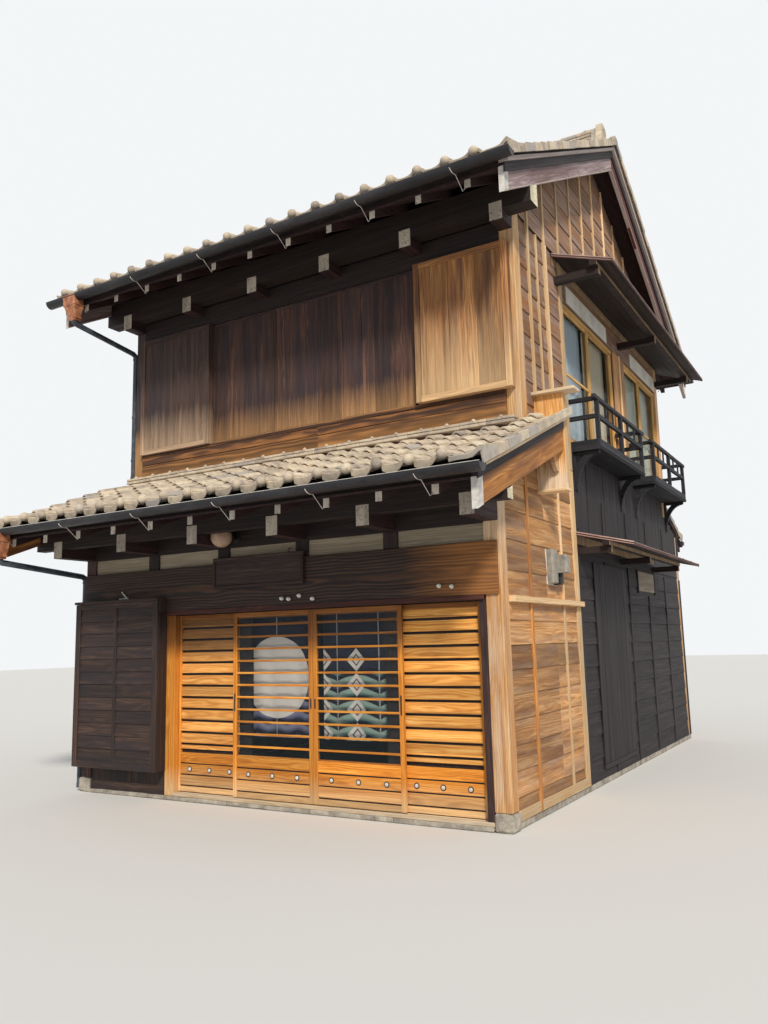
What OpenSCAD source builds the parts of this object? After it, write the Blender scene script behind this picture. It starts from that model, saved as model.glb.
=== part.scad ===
// Two-storey timber townhouse of a narrow street plot, seen as its carpenter frames it.
// The house is set out from the front right corner at ground level: x runs to the right
// along the front, y runs back into the house and z runs up. The finished pieces are
// then moved so that the middle of the whole footprint lies on the origin.

/* [Plan] */
// Distance between two bay lines, half a column space
bay = 985; // [900:5:1100]
// Number of bays across the front
front_bays = 5; // [5:1:6]
// Number of bays from front to back
side_bays = 7; // [7:1:9]
// Side of a square post
post = 150; // [110:5:180]
// Thickness of a boarded wall
wall_t = 90; // [60:5:110]
// How far a wall lies behind the face of its posts
wall_recess = 20; // [0:1:30]
// How far the upper front stands back from the lower one
upper_set = 670; // [450:10:900]
// How far the upper rear wall stands back from the lower one
rear_set = 600; // [450:10:900]

/* [Levels] */
// Top of the stone plinth under the walls
plinth_h = 60; // [40:5:120]
// Height of the stone block under a front corner post
corner_stone_h = 150; // [100:5:250]
// Top of the wooden threshold
threshold_z = 75; // [65:5:140]
// Underside of the door head
door_head_z = 1860; // [1750:5:2000]
// Height of the dark door track under the deep beam
head_track_h = 40; // [25:5:80]
// Thickness of the deep beam's facing board
lintel_t = 25; // [15:1:45]
// Height of the deep beam over the doors
lintel_h = 455; // [300:5:500]
// Height of the row of white panels
transom_h = 155; // [100:5:200]
// Height of the beam above the white panels
plate_h = 190; // [120:5:220]
// How far the upper floor lies under the lower rafters at the front wall
floor_drop = 15; // [0:5:60]
// Thickness of the upper floor
floor_t = 90; // [40:5:120]
// Height of the skirt under the upper shutters, from the foot of the upper posts
skirt_h = 577; // [450:1:650]
// Height of the upper shutters
shutter_h = 1450; // [1350:5:1550]
// Height of the beam over the upper shutters
upper_head_h = 240; // [150:5:260]
// Height of the upper side windows' sill over the foot of the upper posts
sill_h = 327; // [250:1:400]
// Height of the upper side windows
window_h = 1590; // [1300:5:1650]
// Height of the upper rear window
rear_window_h = 1040; // [900:5:1400]
// Height of the rear ground floor window's sill
rear_sill_z = 900; // [600:10:1100]
// How far the gable boarding starts under the rafters at the front wall
gable_drop = 290; // [150:5:330]

/* [Roofs] */
// Rise of the main roof for each unit of run
roof_slope = 0.555; // [0.45:0.005:0.62]
// Rise of the lower front and rear roofs for each unit of run
pent_slope = 0.4; // [0.32:0.005:0.5]
// Reach of the main rafters in front of the upper wall
roof_reach = 850; // [600:10:950]
// Reach of the lower rafters in front of the front wall
pent_reach = 1000; // [700:10:1100]
// Reach of the lower rafters behind the rear wall
rear_reach = 450; // [350:10:800]
// Reach of the roofs past the side walls
verge_reach = 270; // [200:5:350]
// Width of a rafter
rafter_w = 60; // [40:5:80]
// Upright thickness of a rafter
rafter_h = 80; // [60:5:110]
// Upright thickness of the roof boards
deck_t = 22; // [15:1:40]
// Height of the tiles' rolls over the roof boards
tile_t = 175; // [150:5:200]
// Height of the tiles over the roof boards between two rolls
pan_t = 120; // [60:5:130]
// Distance between two rolls
tile_w = 280; // [240:5:320]
// Width of a roll at its foot
roll_w = 120; // [90:5:160]
// Width of the flat top of a roll
crest_w = 60; // [20:5:80]
// Distance of the first roll from the tiles' right edge
verge_tile_w = 315; // [200:5:360]
// How far the tiles reach past the roof boards at the verge
tile_lip = 85; // [20:5:100]
// How far the tiles reach past the rafter ends at the eaves
tile_over = 30; // [20:5:60]
// How far the roof boards and bargeboards reach past the rafter ends
board_over = 12; // [5:1:20]
// Distance from the front at which the lower roof's right verge ends
tail_y = 1000; // [950:10:1200]
// Upright depth of a bargeboard
barge_h = 215; // [150:5:260]
// Thickness of a bargeboard
barge_t = 45; // [20:1:55]
// Width of the ridge stack
ridge_w = 260; // [180:5:320]
// Height of the ridge stack over the rolls of the tiles
ridge_h = 220; // [150:5:350]
// How far the ridge stops short of the tiles at a verge
ridge_in = 145; // [20:5:200]
// Width of the ornament that closes an end of the ridge
ridge_end_w = 150; // [60:5:200]
// How far this ornament stands over the ridge
ridge_end_h = 100; // [20:5:140]
// Height of the row of flat tiles where a lower roof meets a wall, over the rolls at the wall
flashing_h = 20; // [0:5:80]
// Radius of a gutter
gutter_r = 65; // [40:1:80]
// Wall of a gutter
gutter_t = 4; // [2:0.5:8]
// How far the gutters reach past the tiles at the left verge
gutter_over = 100; // [10:5:120]
// Radius of a downpipe
pipe_r = 32; // [20:1:40]

/* [Arms and purlins] */
// Width of an arm that carries an eave purlin
arm_w = 130; // [90:5:150]
// Height of such an arm
arm_h = 180; // [140:5:230]
// Reach of a lower arm in front of the front wall
arm_reach = 460; // [300:5:600]
// Reach of an upper arm in front of the upper wall
upper_arm_reach = 230; // [200:5:450]
// How far an upper arm's underside lies over that of the beam it runs out of
upper_arm_up = 135; // [40:5:160]
// Height of the lower eave purlin's front face over the arms
purlin_h = 121; // [80:1:160]
// Height of the upper eave purlin's front face over the arms
upper_purlin_h = 188; // [150:1:220]
// How far the eave purlins, notched over the arms, reach down beside them
purlin_notch = 85; // [20:5:120]
// Depth from front to back of the lower eave purlin
purlin_d = 110; // [80:5:140]
// Depth from front to back of the upper eave purlin
upper_purlin_d = 180; // [100:5:190]
// Side of an inner roof purlin
inner_purlin = 140; // [100:5:180]

/* [Doors] */
// Width of one sliding door
door_w = 965; // [900:5:1000]
// Thickness of a sliding door
door_t = 35; // [28:1:45]
// Space between the doors of the two tracks
track_gap = 10; // [6:1:20]
// Gap around a sliding door
door_gap = 5; // [5:0.5:8]
// Width of a door stile
stile_w = 45; // [35:1:70]
// Height of the boarded foot of a door
door_foot_h = 300; // [200:5:400]
// Width of the dark jamb at the right of the doors
jamb_w = 60; // [40:5:90]
// Width of the post at the left of the doors
door_post_w = 120; // [90:5:150]
// Clear width between the jamb and the left door post
doorway_w = 3480; // [3420:5:3540]
// Thickness of a pane
glass_t = 4; // [3:0.5:8]

/* [Shutter boxes] */
// Depth of the lower shutter box
box_d = 120; // [90:5:160]
// Underside of the lower shutter box
box_z = 280; // [100:5:500]
// How far the lower shutter box reaches up over the door track
box_over = 120; // [50:5:180]
// Wall of a shutter box
box_wall = 20; // [12:1:30]
// Depth of an upper shutter box
upper_box_d = 90; // [60:5:120]
// Width of the left upper shutter box
left_box_w = 1105; // [1000:5:1200]
// Width of the right upper shutter box
right_box_w = 1010; // [900:5:1100]
// Thickness of the upper shutters
shutter_t = 30; // [20:1:40]
// Width of the gap beside the right upper shutter box
box_slot = 60; // [30:5:90]

/* [Side storey] */
// Reach of the side canopy under the gable
canopy_reach = 650; // [500:10:750]
// Fall of the side canopy for each unit of reach
canopy_fall = 0.34; // [0.2:0.01:0.42]
// How far the side canopy meets the wall under the rafters at the front wall
canopy_drop = 355; // [340:5:500]
// Thickness of the side canopy
canopy_t = 45; // [30:5:70]
// How far the canopy reaches past the purlin that carries it
canopy_eave = 170; // [100:10:250]
// Side of an arm under the canopy
canopy_arm = 80; // [50:5:100]
// Distance of the canopy's front end from the front wall
canopy_y = 1765; // [1500:5:2000]
// How far the canopy reaches past the rear wall
canopy_over = 215; // [100:5:300]
// Reach of the balconies
balcony_reach = 310; // [250:5:400]
// Height of a balcony's deep base, whose top is level with the window sill
base_h = 110; // [80:5:150]
// Height of the balcony rails over the window sill
rail_h = 470; // [350:5:600]
// How far the lower rail lies under the top of the upper one
mid_rail_drop = 240; // [150:5:300]
// Height of the brackets under a balcony
bracket_h = 420; // [300:5:500]
// Thickness of these brackets
bracket_w = 70; // [40:5:90]
// How far the upper rail's ends stick out
horn = 90; // [50:5:150]
// Side of a balcony rail or post
rail_w = 45; // [30:1:60]
// Length of a balcony
balcony_l = 1880; // [1600:10:1900]
// Distance of a balcony's end from the end of its window
balcony_in = 5; // [0:1:40]
// Length of the wall between the two balconies
balcony_pier = 540; // [400:10:700]
// Reach of the lower side roof
lean_reach = 600; // [450:10:700]
// How far the lower side roof meets the wall under the foot of the upper posts
lean_drop = 683; // [600:1:750]
// Fall of the lower side roof for each unit of reach
lean_fall = 0.25; // [0.15:0.01:0.4]
// Length of the lower side roof
lean_l = 3400; // [2500:50:4200]
// Thickness of the lower side roof
lean_t = 40; // [25:5:60]
// How far the lower side roof reaches past the purlin that carries it
lean_eave = 250; // [150:10:300]
// Side of an arm under the lower side roof
lean_arm = 70; // [50:5:100]

/* [Fittings] */
// Width of the bare signboard
sign_w = 1130; // [600:10:1200]
// Height of the bare signboard
sign_h = 310; // [200:10:340]
// Radius of the globe lamp
lamp_r = 105; // [60:5:120]
// Height of the meter box
meter_h = 340; // [250:10:400]
// Length of the meter box along the wall
meter_l = 260; // [150:10:300]
// Reach of the meter box
meter_reach = 150; // [100:10:200]
// Underside of the meter box
meter_z = 2030; // [1900:10:2100]
// Distance of the meter box from the front wall
meter_y = 1110; // [1000:10:1200]
// Width of one hanging cloth behind the doors
cloth_w = 880; // [700:10:900]
// Drop of the hanging cloths
cloth_h = 1250; // [900:10:1400]

/* [Hidden] */
$fn = 48;

// A hair's breadth between separate solids of one sub-part
hair = 1;
// Play between a roof and what it lies on
seat = 0.1;
house_w = front_bays * bay + post;
house_d = side_bays * bay + post;
upper_y = upper_set;
upper_end = house_d - rear_set;
ridge_y = (upper_y + upper_end) / 2;

// Bay lines, counted from the front right corner
function line_x(k) = -post / 2 - k * bay;
function line_y(k) = post / 2 + k * bay;
// Levels from the doors up to the main rafters at the face of the upper front wall
lintel_z = door_head_z + head_track_h;
lintel_top = lintel_z + lintel_h;
transom_top = lintel_top + transom_h;
plate_top = transom_top + plate_h;
pent_z = plate_top + purlin_h + pent_slope * arm_reach;
wall_top = pent_z + pent_slope * upper_y;
skirt_z = wall_top + skirt_h;
upper_head_z = skirt_z + shutter_h;
upper_arm_z = upper_head_z + upper_arm_up;
upper_arm_top = upper_arm_z + arm_h;
roof_z = upper_arm_top + upper_purlin_h + roof_slope * upper_arm_reach;
upper_floor_z = pent_z - floor_drop;
window_sill_z = wall_top + sill_h;
window_head_z = window_sill_z + window_h;
gable_z = roof_z - gable_drop;
canopy_z = roof_z - canopy_drop;
lean_z = wall_top - lean_drop;
box_top_z = lintel_z + box_over;

// Undersides of the rafters; the rear lower roof starts as high as the front one ends
function main_under(y) = roof_z + roof_slope * (ridge_y - upper_y - abs(y - ridge_y));
function pent_under(y) = y < ridge_y ? pent_z + pent_slope * y : wall_top - pent_slope * (y - upper_end);
// Tops of the walls, posts and purlins that the rafters lie on
function main_bed(y) = main_under(y) - seat;
function pent_bed(y) = pent_under(y) - seat;

// Faces of the boarded side walls
wall_out = -wall_recess;
wall_in = wall_out - wall_t;
left_out = -house_w + wall_recess;
left_in = left_out + wall_t;
corner_in = -house_w + post;
// Depth of the beams and of the door posts
frame_d = 130;
plate_lip = 10;
frieze_t = 40;
panel_t = 18;

// Edges of the roofs
roof_edge_y = upper_y - roof_reach;
pent_edge_y = -pent_reach;
rear_edge_y = house_d + rear_reach;
verge_r = verge_reach;
verge_l = -house_w - verge_reach;
tiles_r = verge_r + tile_lip;
tiles_l = verge_l - tile_lip;
roof_stack = rafter_h + deck_t;
pent_stack = roof_stack + tile_t;
// From the rafter ends to the middle of the gutter
gutter_y = tile_over + gutter_r + 5;

window_y0 = line_y(2);
window_y1 = line_y(4);
window_y2 = window_y1 + balcony_pier;
window_y3 = upper_end - post;

// The upper side wall ends at the rear post, which stands out to x = 0
function side_face(y) = y > window_y3 ? 0 : wall_out;

sill_z = plinth_h - 20;
door_y = 25;
rear_door_y = door_y + door_t + track_gap;
door_z = threshold_z + door_gap;
door_h = door_head_z - door_gap - door_z;
pane_z = door_z + door_foot_h;
pane_top_z = door_z + door_h - stile_w;
doorway_r = -post - jamb_w;
doorway_l = doorway_r - doorway_w;
doorway_mid = (doorway_r + doorway_l) / 2;
bay_wall_r = doorway_l - door_post_w;
glazed_r_x = doorway_mid + door_gap / 2;
glazed_l_x = doorway_mid - door_gap / 2 - door_w;
louvre_r_x = doorway_r - door_gap - door_w;
louvre_l_x = doorway_l + door_gap;

// The origin is the middle of the whole footprint, at ground level
cap_reach = 420;
gutters_l = tiles_l - gutter_over;
x_high = max(canopy_reach, lean_reach, cap_reach);
x_low = gutters_l;
y_low = pent_edge_y - gutter_y - gutter_r;
y_high = max(rear_edge_y + gutter_y + gutter_r, 2 * ridge_y - roof_edge_y + gutter_y + gutter_r);
center_x = (x_high + x_low) / 2;
center_y = (y_low + y_high) / 2;

module placed() translate([-center_x, -center_y, 0]) children();
// A block between two corners
module block(x0, x1, y0, y1, z0, z1) translate([x0, y0, z0]) cube([x1 - x0, y1 - y0, z1 - z0]);
// An outline of y and z, drawn out along x
module across(x0, x1, points)
    translate([x0, 0, 0]) rotate([90, 0, 90]) linear_extrude(x1 - x0) polygon(points);
// An outline of x and z, drawn out along y
module along(y0, y1, points)
    translate([0, y1, 0]) rotate([90, 0, 0]) linear_extrude(y1 - y0) polygon(points);
// A layer of the main roof above the rafters' underside, on its front and its rear slope
module main_layer(x0, x1, up, t, over = 0) {
    e = roof_edge_y - over;
    z_e = main_under(e) + up;
    z_m = main_under(ridge_y - hair) + up;
    front = [[e, z_e], [ridge_y - hair, z_m], [ridge_y - hair, z_m + t], [e, z_e + t]];
    across(x0, x1, front);
    across(x0, x1, [for (p = front) [2 * ridge_y - p[0], p[1]]]);
}
// A layer of a lower roof above its rafters' underside
module pent_layer(x0, x1, y0, y1, up, t) across(x0, x1, [[y0, pent_under(y0) + up],
    [y1, pent_under(y1) + up], [y1, pent_under(y1) + up + t], [y0, pent_under(y0) + up + t]]);

plinth_w = wall_t + 2 * wall_recess;
module plinth() color("gray") placed() {
    block(-plinth_w, 0, post + hair, house_d, 0, plinth_h);
    block(-house_w, -house_w + plinth_w, post + hair, house_d, 0, plinth_h);
    block(-house_w + plinth_w + hair, -plinth_w - hair, house_d - post, house_d, 0, plinth_h);
    block(-post, wall_recess, -wall_recess, post, 0, corner_stone_h);
    block(-house_w - wall_recess, corner_in, -wall_recess, post, 0, corner_stone_h);
    block(corner_in + hair, -post - hair, -wall_recess, post, 0, sill_z);
}

floor_step = 10;
module ground_floor() color("dimgray") placed()
    block(-house_w + plinth_w, -plinth_w, post, house_d - post, 0, plinth_h - floor_step);

// Corner posts, the posts of the doorway, and the short struts between the white panels
module lower_posts() color("burlywood") placed() {
    for (x = [-post, -house_w]) {
        block(x, x + post, 0, post, corner_stone_h, pent_bed(0));
        block(x, x + post, house_d - post, house_d, plinth_h, pent_bed(house_d));
    }
    block(doorway_r, -post - hair, 0, frame_d, threshold_z, door_head_z);
    block(bay_wall_r, doorway_l, 0, frame_d, sill_z, door_head_z);
    for (k = [1 : front_bays - 1])
        block(line_x(k) - post / 2, line_x(k) + post / 2, 0, frame_d, lintel_top, transom_top);
}

module door_threshold() color("tan") placed()
    block(doorway_l, -post - hair, -wall_recess / 2, frame_d, sill_z, threshold_z);

// The beam behind the facing board, the wall plate, and the frieze board up to the rafters
module front_beams() color("saddlebrown") placed() {
    block(corner_in, -post, 0, frame_d, door_head_z, lintel_top);
    block(corner_in, -post, -plate_lip, frame_d, transom_top, plate_top);
    block(corner_in, -post, wall_recess, wall_recess + frieze_t, plate_top + hair, pent_bed(0));
}

module front_lintel() color("sienna") placed()
    block(-house_w, -wall_recess, -lintel_t, 0, lintel_z, lintel_top);

module transom_panels() color("white") placed()
    for (k = [0 : front_bays - 1])
        block(line_x(k + 1) + post / 2, line_x(k) - post / 2, wall_recess, wall_recess + panel_t,
            lintel_top, transom_top);

// The wall of the last bay, behind the shutter box
module lower_front_wall() color("peru") placed()
    block(corner_in, bay_wall_r, wall_recess, wall_recess + wall_t, sill_z, door_head_z);

// A sliding door that is open above its boarded foot
module door_frame(x) color("goldenrod") placed() difference() {
    block(x, x + door_w, door_y, door_y + door_t, door_z, door_z + door_h);
    block(x + stile_w, x + door_w - stile_w, door_y - 1, door_y + door_t + 1, pane_z, pane_top_z);
}
module glazed_door_right() door_frame(glazed_r_x);
module glazed_door_left() door_frame(glazed_l_x);
module door_glass(x) color("lightblue") placed()
    block(x + stile_w, x + door_w - stile_w, door_y + door_t / 2, door_y + door_t / 2 + glass_t,
        pane_z, pane_top_z);
module door_glass_right() door_glass(glazed_r_x);
module door_glass_left() door_glass(glazed_l_x);
module louvre_door(x) color("goldenrod") placed()
    block(x, x + door_w, rear_door_y, rear_door_y + door_t, door_z, door_z + door_h);
module louvre_door_right() louvre_door(louvre_r_x);
module louvre_door_left() louvre_door(louvre_l_x);

// A closed box of boards, open at the back
module shutter_case(x0, x1, y0, y1, z0, z1) difference() {
    block(x0, x1, y0, y1, z0, z1);
    block(x0 + box_wall, x1 - box_wall, y0 + box_wall, y1 + 1, z0 + box_wall, z1 - box_wall);
}
box_in = 15;
lid_lip = 10;
lid_t = 30;
module lower_shutter_box() color("saddlebrown") placed() {
    x0 = -house_w + box_in;
    x1 = bay_wall_r + lid_lip;
    y0 = -lintel_t - box_d;
    shutter_case(x0, x1, y0, -lintel_t, box_z, box_top_z);
    for (x = [x0, x1 - box_wall])
        block(x, x + box_wall, -lintel_t, 0, box_z, lintel_z - hair);
    block(x0 - lid_lip, x1 + lid_lip, y0 - 2 * lid_lip, -lintel_t, box_top_z, box_top_z + lid_t);
}

// The side walls of the lower storey are cut above to the slope of the lower roofs
module lower_right_wall() placed() {
    front_end = window_y0 - hair;
    color("burlywood") across(wall_in, wall_out, [[post, plinth_h], [front_end, plinth_h],
        [front_end, wall_top], [upper_y, wall_top], [post, pent_bed(post)]]);
    color("dimgray") across(wall_in, wall_out, [[window_y0, plinth_h], [house_d - post, plinth_h],
        [house_d - post, pent_bed(house_d - post)], [upper_end, wall_top], [window_y0, wall_top]]);
}

// The part of a gable between the corner posts, from a level up to the rafters
module gable(x0, x1, z0) across(x0, x1, [[upper_y + post, z0], [upper_end - post, z0],
    [upper_end - post, main_bed(upper_end - post)], [ridge_y, main_bed(ridge_y)],
    [upper_y + post, main_bed(upper_y + post)]]);

module left_wall() color("tan") placed() {
    across(left_out, left_in, [[post, plinth_h], [house_d - post, plinth_h],
        [house_d - post, pent_bed(house_d - post)], [upper_end, wall_top], [upper_y, wall_top],
        [post, pent_bed(post)]]);
    gable(left_out, left_in, wall_top + hair);
}

// One storey of the rear wall: four blocks around a window
rear_y = house_d - wall_recess - wall_t;
upper_rear_y = upper_end - wall_recess - wall_t;
rear_x0 = line_x(3) + post / 2;
rear_x1 = line_x(1) - post / 2;
// For each storey: front face, wall from and to, window from and to
rear_storeys = [[rear_y, plinth_h, pent_bed(house_d), rear_sill_z, door_head_z],
    [upper_rear_y, upper_floor_z, main_bed(upper_end), window_sill_z, window_sill_z + rear_window_h]];
module rear_wall() color("peru") placed() for (s = rear_storeys) {
    back = s[0] + wall_t;
    block(corner_in, rear_x0, s[0], back, s[1], s[2]);
    block(rear_x1, -post, s[0], back, s[1], s[2]);
    block(rear_x0 + hair, rear_x1 - hair, s[0], back, s[1], s[3]);
    block(rear_x0 + hair, rear_x1 - hair, s[0], back, s[4], s[2]);
}

module upper_floor() color("peru") placed()
    block(left_in, wall_in, upper_y, upper_end, upper_floor_z - floor_t, upper_floor_z);

module upper_posts() color("burlywood") placed()
    for (x = [-post, -house_w], y = [upper_y, upper_end - post])
        block(x, x + post, y, y + post, wall_top, main_bed(upper_y));

skirt_t = 25;
module upper_front_wall() color("peru") placed() {
    block(corner_in, -post, upper_y, upper_y + frame_d, upper_floor_z, skirt_z);
    block(corner_in, -post, upper_y - skirt_t, upper_y, wall_top + pent_stack + flashing_h, skirt_z);
}

module upper_front_head() color("saddlebrown") placed() {
    head_top = upper_head_z + upper_head_h;
    block(corner_in, -post, upper_y, upper_y + frame_d, upper_head_z, head_top);
    block(corner_in, -post, upper_y + 30, upper_y + 30 + frieze_t, head_top + hair, main_bed(upper_y));
}

// Ends of the upper shutter boxes
box_r = -post / 3;
shutters_l = corner_in + left_box_w;
shutters_r = box_r - right_box_w;
module upper_shutter_boxes() placed() {
    color("dimgray") shutter_case(corner_in, shutters_l, upper_y - upper_box_d + shutter_t,
        upper_y + shutter_t, skirt_z + hair, upper_head_z - hair);
    color("orange") shutter_case(shutters_r, box_r, upper_y - upper_box_d, upper_y - hair,
        skirt_z + hair, upper_head_z - hair);
}
module rain_shutters() color("dimgray") placed()
    block(shutters_l + hair, shutters_r - box_slot, upper_y + wall_recess,
        upper_y + wall_recess + shutter_t, skirt_z, upper_head_z);

module upper_right_wall() placed() {
    color("rosybrown") block(wall_in, wall_out, upper_y + post, window_y0 - hair, wall_top, gable_z);
    color("dimgray") {
        block(wall_in, wall_out, window_y0, window_y3, wall_top, window_sill_z);
        block(wall_in, wall_out, window_y0, window_y3, window_head_z, gable_z);
        block(wall_in, wall_out, window_y1, window_y2, window_sill_z + hair, window_head_z - hair);
    }
}
module right_gable() color("rosybrown") placed() gable(wall_in, wall_out, gable_z + hair);

// Every window is a pair of sashes in one frame. Side windows run along y, rear ones along x
frame_t = 45;
frame_in = 20;
sash_in = 10;
side_windows = [[window_y0, window_y1], [window_y2, window_y3]];
module window_frames() color("burlywood") placed() {
    for (s = side_windows) {
        for (y = [s[0] + hair, (s[0] + s[1] - frame_t) / 2, s[1] - frame_t - hair])
            block(wall_in + frame_in, wall_out - sash_in, y, y + frame_t, window_sill_z + frame_t,
                window_head_z - frame_t);
        for (z = [window_sill_z, window_head_z - frame_t])
            block(wall_in + frame_in, wall_out, s[0] + hair, s[1] - hair, z, z + frame_t);
    }
    for (s = rear_storeys) {
        mid = (rear_x0 + rear_x1 - frame_t) / 2;
        for (x = [rear_x0 + hair, mid, rear_x1 - frame_t - hair])
            block(x, x + frame_t, s[0] + frame_in, s[0] + wall_t - sash_in, s[3] + frame_t,
                s[4] - frame_t);
        for (z = [s[3], s[4] - frame_t])
            block(rear_x0 + hair, rear_x1 - hair, s[0] + frame_in, s[0] + wall_t, z, z + frame_t);
    }
}
module window_glass() color("lightblue") placed() {
    for (s = side_windows) {
        l = (s[1] - s[0] - 3 * frame_t) / 2 - hair;
        for (y = [s[0] + frame_t + hair, s[1] - frame_t - hair - l])
            block(wall_in + wall_t / 2, wall_in + wall_t / 2 + glass_t, y, y + l,
                window_sill_z + frame_t, window_head_z - frame_t);
    }
    for (s = rear_storeys) {
        l = (rear_x1 - rear_x0 - 3 * frame_t) / 2 - hair;
        for (x = [rear_x0 + frame_t + hair, rear_x1 - frame_t - hair - l])
            block(x, x + l, s[0] + wall_t / 2, s[0] + wall_t / 2 + glass_t, s[3] + frame_t,
                s[4] - frame_t);
    }
}

// Arms run out of the walls at the bay lines and carry the eave purlins
module arms() color("saddlebrown") placed()
    for (k = [0 : front_bays]) {
        x = line_x(k) - arm_w / 2;
        back = k == 0 || k == front_bays ? 0 : -plate_lip;
        block(x, x + arm_w, -arm_reach, back, plate_top - arm_h, plate_top);
        block(x, x + arm_w, upper_y - upper_arm_reach, upper_y, upper_arm_z, upper_arm_top);
    }
purlin_lip = 8;
// A purlin lies under the rafters from z0 at y0 to z1 at y1. It is notched over the arms, whose tops
// it rests on, and its ends are cut to pass under the bargeboards
module purlin(y0, y1, rest_z, z0, z1) {
    foot = rest_z - purlin_notch;
    fall = (z1 - z0) / (y1 - y0);
    cut = rafter_h - barge_h - hair;
    difference() {
        across(verge_l - purlin_lip, verge_r + purlin_lip, [[y0, foot], [y1, foot], [y1, z1], [y0, z0]]);
        for (k = [0 : front_bays])
            block(line_x(k) - arm_w / 2 - hair, line_x(k) + arm_w / 2 + hair, y0 - 1, y1 + 1, foot - 1,
                rest_z);
        for (x = [verge_l - barge_t, verge_r - barge_t - hair])
            across(x, x + 2 * barge_t + hair, [[y0 - 1, z0 - fall + cut], [y1 + 1, z1 + fall + cut],
                [y1 + 1, z1 + barge_h], [y0 - 1, z0 + barge_h]]);
    }
}
module eave_purlins() color("saddlebrown") placed() {
    y0 = -arm_reach;
    y1 = y0 + purlin_d;
    purlin(y0, y1, plate_top, pent_bed(y0), pent_bed(y1));
    u0 = upper_y - upper_arm_reach;
    u1 = u0 + upper_purlin_d;
    purlin(u0, u1, upper_arm_top, main_bed(u0), main_bed(u1));
}

// Ridge beam and the purlins half way up, inside the house
module roof_beams() color("saddlebrown") placed() {
    h = inner_purlin / 2;
    across(left_in, wall_in, [[ridge_y - h, main_bed(ridge_y) - 4 * h],
        [ridge_y + h, main_bed(ridge_y) - 4 * h], [ridge_y + h, main_bed(ridge_y + h)],
        [ridge_y, main_bed(ridge_y)], [ridge_y - h, main_bed(ridge_y - h)]]);
    for (y = [(upper_y + ridge_y) / 2, (upper_end + ridge_y) / 2])
        across(left_in, wall_in, [[y - h, main_bed(y) - 3 * h], [y + h, main_bed(y) - 3 * h],
            [y + h, main_bed(y + h)], [y - h, main_bed(y - h)]]);
}

module rafters() color("saddlebrown") placed()
    for (k = [0 : 2 * front_bays]) {
        x0 = line_x(k / 2) - rafter_w / 2;
        x1 = x0 + rafter_w;
        main_layer(x0, x1, 0, rafter_h);
        pent_layer(x0, x1, pent_edge_y, upper_y, 0, rafter_h);
        pent_layer(x0, x1, upper_end, rear_edge_y, 0, rafter_h);
    }

// The front lower roof runs on past the corner of the upper storey at its right verge
module roof_boards() color("sienna") placed() {
    up = rafter_h + seat;
    main_layer(verge_l, verge_r, up, deck_t - seat, board_over);
    pent_layer(verge_l, 0, pent_edge_y - board_over, upper_y, up, deck_t - seat);
    pent_layer(hair, verge_r, pent_edge_y - board_over, tail_y, up, deck_t - seat);
    pent_layer(verge_l, 0, upper_end, rear_edge_y + board_over, up, deck_t - seat);
}

// Rows of tiles run up the roofs as rolls with flat pans between them, counted from the right verge,
// where the tiles' raised edge is half a roll
function roll_x(k) = tiles_r - verge_tile_w - k * tile_w;
function nearest_roll(x) = roll_x(max(0, round((roll_x(0) - x) / tile_w)));
function roll_side(x) = min(tiles_r - x, abs(x - nearest_roll(x)));
function tile_top(x) = pan_t + (tile_t - pan_t) * min(1, max(0,
    (roll_w - 2 * roll_side(x)) / (roll_w - crest_w)));
rolls = ceil((tiles_r - tiles_l) / tile_w);
roll_edges = concat([tiles_r - crest_w / 2, tiles_r - roll_w / 2],
    [for (k = [0 : rolls], w = [roll_w, crest_w, -crest_w, -roll_w]) roll_x(k) + w / 2]);
// The layer of tiles between two edges, seen up the slope
function tile_outline(x0, x1) = concat([[x0, seat], [x1, seat], [x1, tile_top(x1)]],
    [for (x = roll_edges) if (x > x0 && x < x1) [x, tile_top(x)]], [[x0, tile_top(x0)]]);
// This layer, laid on the slope from one point of y and z to another, with upright ends
module tile_slope(x0, x1, y0, z0, y1, z1) {
    a = atan2(z1 - z0, y1 - y0);
    l = norm([y1 - y0, z1 - z0]);
    intersection() {
        translate([0, y0, z0]) rotate([a, 0, 0])
            along(-tile_t, l + tile_t, [for (p = tile_outline(x0, x1)) [p[0], p[1] * cos(a)]]);
        block(x0 - 1, x1 + 1, y0, y1, min(z0, z1) - tile_t, max(z0, z1) + 2 * tile_t);
    }
}
module main_tiles() color("lightgray") placed() {
    y0 = roof_edge_y - tile_over;
    y1 = ridge_y - hair;
    z0 = main_under(y0) + roof_stack;
    z1 = main_under(y1) + roof_stack;
    tile_slope(tiles_l, tiles_r, y0, z0, y1, z1);
    tile_slope(tiles_l, tiles_r, 2 * ridge_y - y1, z1, 2 * ridge_y - y0, z0);
}

// Rows of flat tiles close the joint between a lower roof and the wall above it
module flashing(y0, y1) across(-house_w, 0, [[y0, pent_under(y0) + pent_stack + hair],
    [y1, pent_under(y1) + pent_stack + hair], [y1, wall_top + pent_stack + flashing_h - hair],
    [y0, wall_top + pent_stack + flashing_h - hair]]);
flashing_d = 130;
module pent_slope_tiles(x0, x1, y0, y1)
    tile_slope(x0, x1, y0, pent_under(y0) + roof_stack, y1, pent_under(y1) + roof_stack);
module pent_tiles() color("lightgray") placed() {
    pent_slope_tiles(tiles_l, 0, pent_edge_y - tile_over, upper_y);
    pent_slope_tiles(hair, tiles_r, pent_edge_y - tile_over, tail_y);
    pent_slope_tiles(tiles_l, 0, upper_end, rear_edge_y + tile_over);
    flashing(upper_y - flashing_d, upper_y - skirt_t - hair);
    flashing(upper_end, upper_end + flashing_d);
}

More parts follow.
